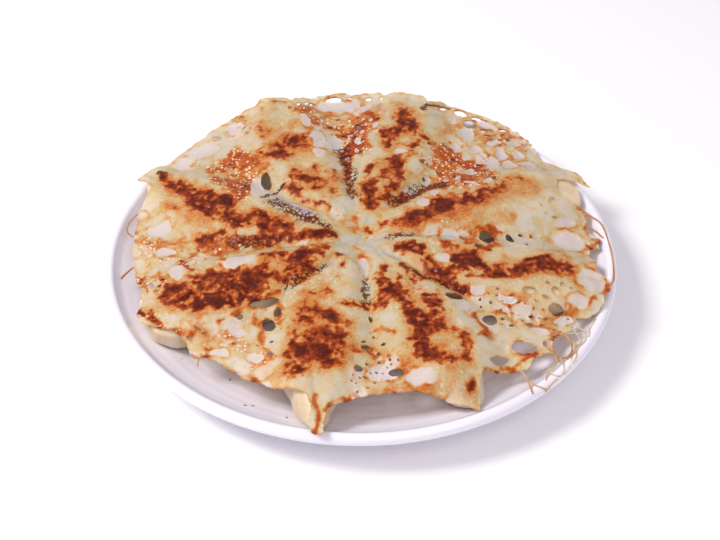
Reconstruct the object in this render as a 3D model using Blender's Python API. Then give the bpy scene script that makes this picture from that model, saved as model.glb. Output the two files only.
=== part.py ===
"""Pan-fried gyoza joined by a crisp starch skirt, turned out browned side up onto a round plate.

Metres, +Z up. The origin is the centre of the plate's foot, on the table. +X is the dish's
right-hand side and -Y its front. Eight dumplings lie in a ring with their inner tips at the
centre. One thin fried sheet of starch lies over them and sags between them.
"""

import math

import bmesh
import bpy
from mathutils import Vector

MM = 0.001
CLEARANCE = 0.3 * MM            # left between two pieces that touch
COARSE_CLEARANCE = 0.95 * MM    # the same where both faces are coarse curves

# Plate: a coupe plate with a rolled lip and a turned foot ring.
PLATE_RADIUS = 120 * MM
LIP_RADIUS = 2.75 * MM          # of the rounded bead round the rim
LIP_HEIGHT = 22 * MM
LIP_POINTS = 7
FLOOR_HEIGHT = 8.5 * MM
FLOOR_RADIUS = 80 * MM          # where the flat floor starts to curve up
WALL_RISE = 10.6 * MM
WALL_CURVE = 1.9
FOOT_RADIUS = 76 * MM
FOOT_WIDTH = 5 * MM
FOOT_DEPTH = 3 * MM
UNDERSIDE_HEIGHT = 3.6 * MM
UNDERSIDE_RISE = 13.4 * MM
WALL_POINTS = 5
PLATE_STEPS = 48

# Sheet: its height follows crests over the dumplings and troughs between them.
SHEET_RADIUS = 110 * MM
SHEET_THICKNESS = 1 * MM
CREST_HEIGHT = 34 * MM
CENTRE_DIP = 4.5 * MM
DIP_RADIUS = 14 * MM
TROUGH_DEPTH = 4.5 * MM
TROUGH_START = 12 * MM
TROUGH_END = 38 * MM
CREST_MARGIN = 3 * MM           # by which a crest is wider than its dumpling
CREST_RUN = 10 * MM             # how far a crest runs on past an inner tip
CREST_TOP, CREST_FOOT = 0.5, 1.5    # of a crest's half width, where it starts and ends its fall
BLUNT_SHARE = 0.93              # of a dumpling's length, past which its crest keeps its width
EDGE_POWER = 2.5                # how late the sheet bends down towards its edge
EDGE_DROOP = 3.7 * MM           # of the edge below the crests, and how that varies round it
EDGE_FRONT = 1.2 * MM
EDGE_SIDES = 2.6 * MM
EDGE_RIGHT = 0.8 * MM
DROOP_START = 0.8               # of a dumpling's length, where its drooping tip starts
DROOP_NEAR, DROOP_FAR = 12 * MM, 30 * MM    # beside the axis, where the droop fades and ends
SHEET_CELL = 6.4 * MM
SHEET_SNAP = 0.55               # of a cell, the most that an edge point moves onto the outline

# Sheet outline, in mm, anticlockwise from the right: bays between the dumplings' ends.
SHEET_OUTLINE = [
    (108, 0), (112, 3), (109, 10), (108, 20), (103, 28), (98, 31), (96, 38), (98, 46), (111, 43),
    (103, 52), (98, 59), (89, 68), (86, 78), (80, 88), (72, 95), (62, 101), (52, 106), (42, 109),
    (34, 109), (27, 112), (18, 112), (10, 115), (-8, 117), (-20, 115), (-30, 111), (-38, 108),
    (-47, 108), (-55, 101), (-66, 96), (-76, 87), (-88, 71), (-96, 61), (-101, 53), (-109, 44),
    (-102, 37), (-107, 24), (-106, 0), (-104, -18), (-98, -34), (-97, -43), (-98, -50), (-93, -57),
    (-80, -62), (-73, -74), (-66, -76), (-53, -86), (-41, -93), (-28, -99), (-22, -102),
    (-21, -115), (-18, -120), (-14, -113), (-13, -106), (2, -101), (18, -98), (36, -97), (48, -102),
    (50, -91), (53, -85), (62, -81), (70, -83), (74, -84), (82, -76), (90, -67), (96, -58),
    (101, -48), (105, -38), (109, -29), (108, -20), (108, -8),
]
# Larger openings in the sheet: centre and half sizes, in mm.
SHEET_HOLES = [
    ((59, -1), (4, 6)), ((-46, 33), (4, 9)), ((-40, -60), (4, 6)), ((-43, -47), (7, 3)),
    ((57, -54), (4, 4)), ((87, -46), (4, 4)), ((71, -70), (5, 4)), ((86, -62), (4, 5)),
    ((77, -72), (4, 5)), ((55, 96), (5, 5)), ((15, -87), (4, 3)), ((-13, 111), (4, 3)),
]

# Dumplings: inner tip and outer tip in mm, bow of the axis to its left, half width, the power
# of the taper to the outer tip (a low one is blunt), and how far that tip droops.
GYOZA = {
    "gyoza_1": ((-6, 15), (-45, 106), 8, 17, 0.4, 0),
    "gyoza_2": ((4, 13), (25, 109), -3, 17, 0.4, 0),
    "gyoza_3": ((10, 4), (107, 41), 5, 18, 0.4, 1),
    "gyoza_4": ((14, -7), (108, -27), -5, 17, 0.4, 0),
    "gyoza_5": ((9, -18), (50, -98), -1, 17, 0.7, 9),
    "gyoza_6": ((-6, -20), (-18, -114), -7, 17, 0.85, 5),
    "gyoza_7": ((-14, -13), (-96, -50), 1, 18.5, 0.3, 2),
    "gyoza_8": ((-13, 2), (-104, 46), 7, 17, 0.6, 0),
}
TAPER_IN = 0.85                 # power of the taper to every inner tip
BODY_DEPTH = 25 * MM            # of the half moon below its flat face
TIP_DEPTH = 5 * MM              # of the crimped ear at each tip
BELLY_LEVEL = 0.68              # of the body's depth, where it is widest
ARC_POWER = 3                   # how long the half moon keeps its full depth
TOP_ROUND, SEAM_ROUND = 0.65, 0.6   # powers of the section above and below its belly
PLEAT_DEPTH = 0.9 * MM
RING_SIDES = 16
RINGS = 13


def smooth(value, low, high):
    """0 below low, 1 above high, and an even S between them."""
    share = min(max((value - low) / (high - low), 0), 1)
    return share * share * (3 - 2 * share)


def material(name, color, roughness, subsurface):
    made = bpy.data.materials.new(name)
    made.use_nodes = True
    shader = made.node_tree.nodes["Principled BSDF"]
    shader.inputs["Base Color"].default_value = (*color, 1)
    shader.inputs["Roughness"].default_value = roughness
    shader.inputs["Metallic"].default_value = 0
    shader.inputs["Subsurface Weight"].default_value = subsurface
    made.diffuse_color = (*color, 1)
    return made


def add_object(name, bm, look):
    """Puts the finished bmesh into the scene, shaded smooth up to 40 degrees."""
    bmesh.ops.recalc_face_normals(bm, faces=bm.faces)
    mesh = bpy.data.meshes.new(name)
    bm.to_mesh(mesh)
    bm.free()
    mesh.materials.append(look)
    mesh.shade_smooth()
    mesh.set_sharp_from_angle(angle=math.radians(40))
    made = bpy.data.objects.new(name, mesh)
    bpy.context.collection.objects.link(made)
    return made


# ---------------------------------------------------------------- plate

def wall_share(radius):
    """0 on the flat floor, 1 where the wall meets the lip."""
    wall_end = PLATE_RADIUS - 2 * LIP_RADIUS
    return max(radius - FLOOR_RADIUS, 0) / (wall_end - FLOOR_RADIUS)


def plate_top(radius):
    """Height of the plate's inside below the lip."""
    return FLOOR_HEIGHT + WALL_RISE * wall_share(radius) ** WALL_CURVE


def plate_profile():
    """Half section: out along the floor, over the lip, down to the foot and back to the axis."""
    wall_end = PLATE_RADIUS - 2 * LIP_RADIUS
    points = [(0, FLOOR_HEIGHT), (FLOOR_RADIUS, FLOOR_HEIGHT)]
    for step in range(1, WALL_POINTS):
        radius = FLOOR_RADIUS + (wall_end - FLOOR_RADIUS) * step / WALL_POINTS
        points.append((radius, plate_top(radius)))
    lip_centre = Vector((PLATE_RADIUS - LIP_RADIUS, LIP_HEIGHT - LIP_RADIUS))
    for step in range(LIP_POINTS):
        angle = math.radians(180 - 30 * step)
        around = Vector((math.cos(angle), math.sin(angle)))
        points.append(tuple(lip_centre + LIP_RADIUS * around))
    points.append((PLATE_RADIUS - 0.6 * MM, LIP_HEIGHT - 4.4 * MM))
    for step in range(1, WALL_POINTS):
        share = 1 - step / WALL_POINTS
        radius = FOOT_RADIUS + (PLATE_RADIUS - FOOT_RADIUS) * share
        points.append((radius, FOOT_DEPTH + UNDERSIDE_RISE * share ** WALL_CURVE))
    points.append((FOOT_RADIUS, FOOT_DEPTH))
    points.append((FOOT_RADIUS, 0))
    points.append((FOOT_RADIUS - FOOT_WIDTH, 0))
    points.append((FOOT_RADIUS - FOOT_WIDTH, UNDERSIDE_HEIGHT))
    points.append((0, UNDERSIDE_HEIGHT))
    return points


def make_plate(look):
    """Turns the half section about the axis."""
    bm = bmesh.new()
    ring = [bm.verts.new((radius, 0, height)) for radius, height in plate_profile()]
    for above, below in zip(ring, ring[1:]):
        bm.edges.new((above, below))
    bmesh.ops.spin(bm, geom=bm.verts[:] + bm.edges[:], cent=(0, 0, 0), axis=(0, 0, 1),
                   angle=math.tau, steps=PLATE_STEPS, use_merge=True, use_duplicate=False)
    bmesh.ops.remove_doubles(bm, verts=bm.verts, dist=0.01 * MM)
    return add_object("plate", bm, look)


# ---------------------------------------------------------------- heights over the dish

class Axis:
    """The bowed line from a dumpling's inner tip to its outer tip, seen from above."""

    def __init__(self, inner, outer, bow, half_width, taper, droop):
        self.inner = Vector(inner) * MM
        self.length = (Vector(outer) * MM - self.inner).length
        self.along = (Vector(outer) * MM - self.inner) / self.length
        self.left = Vector((-self.along.y, self.along.x))
        self.bow = bow * MM
        self.half_width = half_width * MM
        self.taper = taper
        self.droop = droop * MM

    def bow_at(self, share):
        return 4 * self.bow * share * (1 - share)

    def point(self, share, side):
        """Plan position at a share of the length, side metres to the left of the axis."""
        return (self.inner + self.along * self.length * share
                + self.left * (side + self.bow_at(share)))

    def place(self, x, y):
        """Share along the axis, held to 0..1, the distance beyond its inner tip, and side."""
        offset = Vector((x, y)) - self.inner
        share = offset.dot(self.along) / self.length
        held = min(max(share, 0), 1)
        short = max(-share, 0) * self.length
        return held, short, offset.dot(self.left) - self.bow_at(held)

    def width(self, share):
        """Half width at a share of the length: a long taper inwards, its own one outwards."""
        fullest = TAPER_IN / (TAPER_IN + self.taper)
        peak = fullest ** TAPER_IN * (1 - fullest) ** self.taper
        return self.half_width * share ** TAPER_IN * (1 - share) ** self.taper / peak


AXES = {name: Axis(*sizes) for name, sizes in GYOZA.items()}


def crest_share(axis, x, y):
    """1 along the top of a dumpling, 0 in the troughs beside it."""
    share, short, side = axis.place(x, y)
    half = axis.width(min(share, BLUNT_SHARE)) + CREST_MARGIN
    away = math.hypot(side / half, short / CREST_RUN)
    return 1 - smooth(away, CREST_TOP, CREST_FOOT)


def tip_droop(axis, x, y):
    share, _, side = axis.place(x, y)
    beside = 1 - smooth(abs(side), DROOP_NEAR, DROOP_FAR)
    return axis.droop * smooth(share, DROOP_START, 1) * beside


def edge_droop(angle):
    """How far the sheet's edge hangs below its crests: least at the back, most at the right."""
    return (EDGE_DROOP - EDGE_FRONT * math.sin(angle) + EDGE_SIDES * math.cos(2 * angle)
            + EDGE_RIGHT * math.cos(angle))


def sheet_top(x, y):
    """Height of the sheet's browned face."""
    radius = math.hypot(x, y)
    crest = CREST_HEIGHT - CENTRE_DIP * math.exp(-(radius / DIP_RADIUS) ** 2)
    crest -= edge_droop(math.atan2(y, x)) * (radius / SHEET_RADIUS) ** EDGE_POWER
    crest -= max(tip_droop(axis, x, y) for axis in AXES.values())
    raised = max(crest_share(axis, x, y) for axis in AXES.values())
    trough = TROUGH_DEPTH * smooth(radius, TROUGH_START, TROUGH_END)
    return crest - trough * (1 - raised)


# ---------------------------------------------------------------- dumplings

def body_depth(share):
    """Depth of the half moon: its arc runs from ear to ear below the flat face."""
    arc = math.sqrt(1 - abs(2 * share - 1) ** ARC_POWER)
    return TIP_DEPTH + (BODY_DEPTH - TIP_DEPTH) * arc


def section(angle):
    """One point of the cross section: side from -1 to 1, and level from 0 (seam) to 1 (top)."""
    across, up = math.cos(angle), math.sin(angle)
    if up >= 0:
        side = math.copysign(abs(across) ** TOP_ROUND, across)
        return side, BELLY_LEVEL + (1 - BELLY_LEVEL) * up ** TOP_ROUND
    return across, BELLY_LEVEL * max(1 + up, 0) ** SEAM_ROUND


def make_gyoza(name, axis, look):
    """A half moon on its pleated seam, flat face up: rings of points along the bowed axis."""
    bm = bmesh.new()
    bmesh.ops.create_uvsphere(bm, u_segments=RING_SIDES, v_segments=RINGS + 1, radius=1)
    levels = sorted({round(vert.co.z, 4) for vert in bm.verts})
    for vert in bm.verts:
        share = min(max((1 - vert.co.z) / 2, 0), 1)
        side, level = section(math.atan2(vert.co.y, vert.co.x))
        ring = levels.index(round(vert.co.z, 4))
        pleat = PLEAT_DEPTH * (ring % 2) * (side < 0) * (level < BELLY_LEVEL)
        plan = axis.point(share, side * max(axis.width(share) - pleat, 0))
        top = sheet_top(*plan) - SHEET_THICKNESS - COARSE_CLEARANCE
        rest = plate_top(plan.length) + COARSE_CLEARANCE
        bottom = max(rest, top - body_depth(share))
        vert.co = (plan.x, plan.y, bottom + (top - bottom) * level)
    return add_object(name, bm, look)


# ---------------------------------------------------------------- sheet

def outline_distance(x, y):
    """Distance to the sheet's outline, positive outside it."""
    here = Vector((x, y))
    nearest = math.inf
    inside = False
    corners = [Vector(point) * MM for point in SHEET_OUTLINE]
    for start, end in zip(corners, corners[1:] + corners[:1]):
        run = end - start
        share = min(max((here - start).dot(run) / run.length_squared, 0), 1)
        nearest = min(nearest, (here - start - run * share).length)
        if (start.y > y) != (end.y > y):
            inside ^= x < start.x + run.x * (y - start.y) / run.y
    return -nearest if inside else nearest


def hole_depth(x, y):
    """How far inside the nearest opening a point is, negative outside them all."""
    deepest = -math.inf
    for (centre_x, centre_y), (half_x, half_y) in SHEET_HOLES:
        away = math.hypot((x / MM - centre_x) / half_x, (y / MM - centre_y) / half_y)
        deepest = max(deepest, (1 - away) * min(half_x, half_y) * MM)
    return deepest


def void(x, y):
    """Positive where there is no sheet, with a slope of about one."""
    return max(outline_distance(x, y), hole_depth(x, y))


def snap_to_edge(vert):
    """Moves an edge point down or up the slope of void() to where it is zero."""
    step = 0.2 * MM
    x, y = vert.co.x, vert.co.y
    here = void(x, y)
    slope = Vector((void(x + step, y) - here, void(x, y + step) - here)) / step
    if slope.length > 0.1:
        move = slope * (-here / slope.length_squared)
        if move.length > SHEET_SNAP * SHEET_CELL:
            move *= SHEET_SNAP * SHEET_CELL / move.length
        vert.co.x += move.x
        vert.co.y += move.y


def open_corner(bm):
    """A vertex where two parts of the sheet touch only at a corner, or None."""
    for vert in bm.verts:
        if sum(edge.is_boundary for edge in vert.link_edges) > 2:
            return vert
    return None


def make_sheet(look):
    """A grid cut to its outline and openings, lifted to sheet_top and given its thickness."""
    bm = bmesh.new()
    half = PLATE_RADIUS
    cells = round(2 * half / SHEET_CELL)
    bmesh.ops.create_grid(bm, x_segments=cells, y_segments=cells, size=half)
    outside = [face for face in bm.faces if void(*face.calc_center_median().xy) > 0]
    bmesh.ops.delete(bm, geom=outside, context="FACES")
    while (corner := open_corner(bm)) is not None:
        bmesh.ops.delete(bm, geom=corner.link_faces[:1], context="FACES")
    for vert in bm.verts:
        if vert.is_boundary:
            snap_to_edge(vert)
    for vert in bm.verts:
        vert.co.z = sheet_top(vert.co.x, vert.co.y)
    bmesh.ops.recalc_face_normals(bm, faces=bm.faces)
    lower = bmesh.ops.extrude_face_region(bm, geom=bm.faces[:], use_keep_orig=True)["geom"]
    moved = [part for part in lower if isinstance(part, bmesh.types.BMVert)]
    bmesh.ops.translate(bm, verts=moved, vec=(0, 0, -SHEET_THICKNESS))
    return add_object("starch_skirt", bm, look)


def main():
    for old in list(bpy.data.objects):
        bpy.data.objects.remove(old)
    porcelain = material("glazed porcelain", (0.80, 0.77, 0.82), 0.15, 0)
    dough = material("steamed wheat dough", (0.66, 0.56, 0.38), 0.35, 0.2)
    starch = material("fried starch", (0.62, 0.36, 0.14), 0.3, 0.2)
    make_plate(porcelain)
    for name, axis in AXES.items():
        make_gyoza(name, axis, dough)
    make_sheet(starch)


main()
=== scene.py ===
# %% [markdown]
# # Pan-fried gyoza with a crisp skirt
# Eight dumplings were fried in a ring in a round pan. Thin starch batter was poured between
# them, boiled dry and fried to a brittle, lacy sheet. A plate was laid over the pan and both
# were turned over, so the browned flat faces now look up and the pleated seams are underneath.
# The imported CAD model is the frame: it holds the plate, the dumplings and the sheet at their
# real size. This script builds the fine surfaces on it, and nothing is moved or resized.

import math

import bmesh
import bpy
import numpy as np
from mathutils import Matrix, Vector


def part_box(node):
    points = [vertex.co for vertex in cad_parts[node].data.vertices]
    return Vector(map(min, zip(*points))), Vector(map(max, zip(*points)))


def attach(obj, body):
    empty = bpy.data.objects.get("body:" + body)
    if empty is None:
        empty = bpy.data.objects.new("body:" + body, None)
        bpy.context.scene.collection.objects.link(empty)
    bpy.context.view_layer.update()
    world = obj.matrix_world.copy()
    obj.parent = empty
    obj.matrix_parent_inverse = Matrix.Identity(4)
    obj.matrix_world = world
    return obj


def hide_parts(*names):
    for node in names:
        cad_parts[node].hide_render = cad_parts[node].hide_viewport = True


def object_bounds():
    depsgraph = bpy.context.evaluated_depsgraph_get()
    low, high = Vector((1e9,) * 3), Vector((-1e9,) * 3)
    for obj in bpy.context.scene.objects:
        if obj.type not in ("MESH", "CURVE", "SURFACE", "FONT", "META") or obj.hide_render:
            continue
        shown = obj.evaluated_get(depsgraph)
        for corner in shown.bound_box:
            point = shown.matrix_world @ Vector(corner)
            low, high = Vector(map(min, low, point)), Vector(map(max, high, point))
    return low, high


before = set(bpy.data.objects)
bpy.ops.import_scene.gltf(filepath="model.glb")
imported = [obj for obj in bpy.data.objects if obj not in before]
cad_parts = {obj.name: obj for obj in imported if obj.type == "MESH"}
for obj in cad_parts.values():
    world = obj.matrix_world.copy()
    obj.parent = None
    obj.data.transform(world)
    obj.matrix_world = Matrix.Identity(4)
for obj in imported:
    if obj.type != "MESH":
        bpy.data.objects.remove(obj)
cad_low, cad_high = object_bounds()
MM = 0.001
print("frame", [round(side / MM) for side in cad_high - cad_low], "mm")

# %% [markdown]
# ## Colour and node helpers
# Colours are written as sRGB hex values, the way a paint chart gives them. Blender's shaders
# work in linear light, so one function turns them over. One more small function adds a shader
# node with its settings and its links, which keeps each material short enough to read.

# %% Helpers for materials


def linear(hex_color):
    """An sRGB hex value such as "E8D9B5" as linear red, green, blue and alpha."""
    parts = [int(hex_color[at:at + 2], 16) / 255 for at in (0, 2, 4)]
    return [p / 12.92 if p <= 0.04045 else ((p + 0.055) / 1.055) ** 2.4 for p in parts] + [1]


def new_material(name):
    """A material with its Principled shader, as (material, node tree, shader)."""
    made = bpy.data.materials.new(name)
    made.use_nodes = True
    return made, made.node_tree, made.node_tree.nodes["Principled BSDF"]


def add_node(tree, kind, settings=None, links=None):
    """Adds a node. Settings are attributes or input values, and links are input: socket."""
    node = tree.nodes.new(kind)
    for key, value in (settings or {}).items():
        if isinstance(key, str) and hasattr(node, key):
            setattr(node, key, value)
        else:
            node.inputs[key].default_value = value
    for key, socket in (links or {}).items():
        tree.links.new(socket, node.inputs[key])
    return node


def fill_ramp(node, stops):
    """Sets a colour ramp's stops from (position, hex colour) pairs."""
    elements = node.color_ramp.elements
    while len(elements) > 1:
        elements.remove(elements[-1])
    elements[0].position, elements[0].color = stops[0][0], linear(stops[0][1])
    for position, color in stops[1:]:
        elements.new(position).color = linear(color)

# %% [markdown]
# ## Helpers for shapes
# Every piece ends the same way: its mesh goes into an object at the origin, it is shaded
# smooth up to a chosen angle, and it is tied to the one body of the frame. The smooth step
# and the speckle are the two tools behind every uneven edge and patch on this dish. Speckle
# is value noise: random numbers on a square lattice, blended evenly between the corners.
# Foam is its partner for bubbles: random cells, and how far each point is from their walls.

# %% Helpers for shapes


def finish_piece(name, bm, look, nodes=(), sharp=60):
    """Makes the finished bmesh an object that rides on the frame."""
    mesh = bpy.data.meshes.new(name)
    bm.to_mesh(mesh)
    bm.free()
    mesh.materials.append(look)
    mesh.shade_smooth()
    mesh.set_sharp_from_angle(angle=math.radians(sharp))
    made = bpy.data.objects.new(name, mesh)
    bpy.context.scene.collection.objects.link(made)
    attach(made, "root")
    if nodes:
        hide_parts(*nodes)
    return made


def smooth(value, low, high):
    """0 below low, 1 above high, and an even S between them."""
    share = np.clip((value - low) / (high - low), 0, 1)
    return share * share * (3 - 2 * share)


LATTICE = 97        # squares before the table of random numbers repeats


def speckle(x, y, size, seed):
    """Soft random patches about size across, from -1 to 1."""
    dice = np.random.default_rng(seed)
    table = dice.uniform(-1, 1, (LATTICE, LATTICE))
    turn = dice.uniform(0, math.tau)
    across = (math.cos(turn) * x - math.sin(turn) * y) / size + 500
    up = (math.sin(turn) * x + math.cos(turn) * y) / size + 500
    column, row = np.floor(across).astype(int), np.floor(up).astype(int)
    across, up = smooth(across - column, 0, 1), smooth(up - row, 0, 1)
    corner = [[table[(row + j) % LATTICE, (column + i) % LATTICE] for i in (0, 1)] for j in (0, 1)]
    low = corner[0][0] * (1 - across) + corner[0][1] * across
    high = corner[1][0] * (1 - across) + corner[1][1] * across
    return low * (1 - up) + high * up


def grain(x, y, size, seed, octaves=3):
    """Speckle with finer and fainter speckle on it."""
    total = sum(0.6 ** step * speckle(x, y, size / 2 ** step, seed + step)
                for step in range(octaves))
    return total * 1.6 / sum(0.6 ** step for step in range(octaves))


def foam(x, y, size, seed):
    """Distance to the walls of random cells about size across, and each cell's own number."""
    table = np.random.default_rng(seed).random((LATTICE, LATTICE, 3))
    across, up = x / size + 500, y / size + 500
    column, row = np.floor(across).astype(int), np.floor(up).astype(int)
    first, second, number = across * 0 + 9, across * 0 + 9, across * 0
    for j in (-1, 0, 1):
        for i in (-1, 0, 1):
            cell = table[(row + j) % LATTICE, (column + i) % LATTICE]
            away = np.hypot(column + i + cell[..., 0] - across, row + j + cell[..., 1] - up)
            closer = away < first
            second = np.where(closer, first, np.minimum(second, away))
            number = np.where(closer, cell[..., 2], number)
            first = np.where(closer, away, first)
    return (second - first) * size / 2, number

# %% [markdown]
# ## The lie of the sheet
# The sheet was flat in the pan. On the plate it rests on the dumplings' flat faces and sags
# between them, and its rim droops. The axis of each dumpling is measured from its CAD node:
# the vertex nearest to the dish's centre is the inner tip and the farthest is the outer tip.
# From here on, plan positions are in millimetres on the dish, which is how a cook would point
# at a spot; they become metres when a mesh is made.

# %% Axes of the dumplings
NAMES = [f"gyoza_{number}" for number in range(1, 9)]
TAPER_IN, USUAL_TAPER_OUT = 0.85, 0.4       # powers of the taper: higher is more pointed
TAPER_OUT = {"gyoza_5": 0.7, "gyoza_6": 0.85, "gyoza_7": 0.3, "gyoza_8": 0.6}
TIP_DROOP = {"gyoza_3": 1, "gyoza_5": 9, "gyoza_6": 5, "gyoza_7": 2}    # mm at the outer tip


class Axis:
    """The bowed line from a dumpling's inner tip to its outer tip, seen from above, in mm."""

    def __init__(self, node, taper):
        self.taper = taper
        points = np.array([vert.co for vert in node.data.vertices]) / MM
        reach = np.hypot(points[:, 0], points[:, 1])
        self.inner, outer = points[reach.argmin(), :2], points[reach.argmax(), :2]
        self.length = np.linalg.norm(outer - self.inner)
        self.along = (outer - self.inner) / self.length
        self.left = np.array([-self.along[1], self.along[0]])
        share = (points[:, :2] - self.inner) @ self.along / self.length
        side = (points[:, :2] - self.inner) @ self.left
        middle = side[abs(share - 0.5) < 0.12]
        self.bow = (middle.max() + middle.min()) / 2
        self.half_width = (side.max() - side.min()) / 2
        self.angle = math.atan2(outer[1], outer[0])

    def place(self, x, y):
        """Share along the axis, held to 0..1, millimetres short of it, and side to its left."""
        share = ((x - self.inner[0]) * self.along[0] + (y - self.inner[1]) * self.along[1])
        share = share / self.length
        held = np.clip(share, 0, 1)
        side = (x - self.inner[0]) * self.left[0] + (y - self.inner[1]) * self.left[1]
        return held, np.maximum(-share, 0) * self.length, side - 4 * self.bow * held * (1 - held)

    def width(self, share):
        """Half width: a long taper to the inner tip, and its own taper to the outer tip."""
        fullest = TAPER_IN / (TAPER_IN + self.taper)
        peak = fullest ** TAPER_IN * (1 - fullest) ** self.taper
        return self.half_width * share ** TAPER_IN * (1 - share) ** self.taper / peak

    def point(self, share, side):
        """The plan position at a share of the axis and millimetres to its left."""
        bow = 4 * self.bow * share * (1 - share)
        return self.inner + self.along * self.length * share + self.left * (side + bow)


AXES = {name: Axis(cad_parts[name], TAPER_OUT.get(name, USUAL_TAPER_OUT))
        for name in NAMES}
for name, axis in AXES.items():
    print(name, "length", round(axis.length), "half width", round(axis.half_width, 1),
          "bow", round(axis.bow, 1))

# %% Height of the sheet
CREST = cad_high.z / MM
SHEET_RADIUS = 110      # where the droop of the rim is measured
TROUGH = 4.5            # how deep the film sags between two dumplings
HUB_DIP, HUB_RADIUS = 4.5, 14       # the hollow where the eight inner tips meet


def crest_share(x, y):
    """1 along the tops of the dumplings, 0 in the troughs between them."""
    raised = 0 * x
    for axis in AXES.values():
        share, short, side = axis.place(x, y)
        half = axis.width(np.minimum(share, 0.93)) + 3
        raised = np.maximum(raised, 1 - smooth(np.hypot(side / half, short / 10), 0.5, 1.5))
    return raised


def sheet_height(x, y):
    """Height in mm of the sheet's browned face, without its fine relief."""
    radius, angle = np.hypot(x, y), np.arctan2(y, x)
    height = CREST - HUB_DIP * np.exp(-(radius / HUB_RADIUS) ** 2)
    waves = 3.7 - 1.2 * np.sin(angle) + 2.6 * np.cos(2 * angle) + 0.8 * np.cos(angle)
    height = height - waves * (radius / SHEET_RADIUS) ** 2.5
    droop = 0 * radius
    for name, depth in TIP_DROOP.items():
        share, _, side = AXES[name].place(x, y)
        beside = 1 - smooth(abs(side), 12, 30)
        droop = np.maximum(droop, depth * smooth(share, 0.8, 1) * beside)
    return height - droop - TROUGH * smooth(radius, 12, 38) * (1 - crest_share(x, y))

# %% [markdown]
# ## Where the batter browned
# Each entry below is a stroke of the cook's luck: how deep the colour is (0 to 1), the
# stroke's half width, and the points it passes through, in millimetres. A stroke fades out
# from its line, strokes that meet add up, and speckle frays them. The pan was hottest under
# the dumplings, so they carry the darkest crusts. The lace between them toasted to amber, and
# a few thin strings near the middle almost burned.

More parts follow.
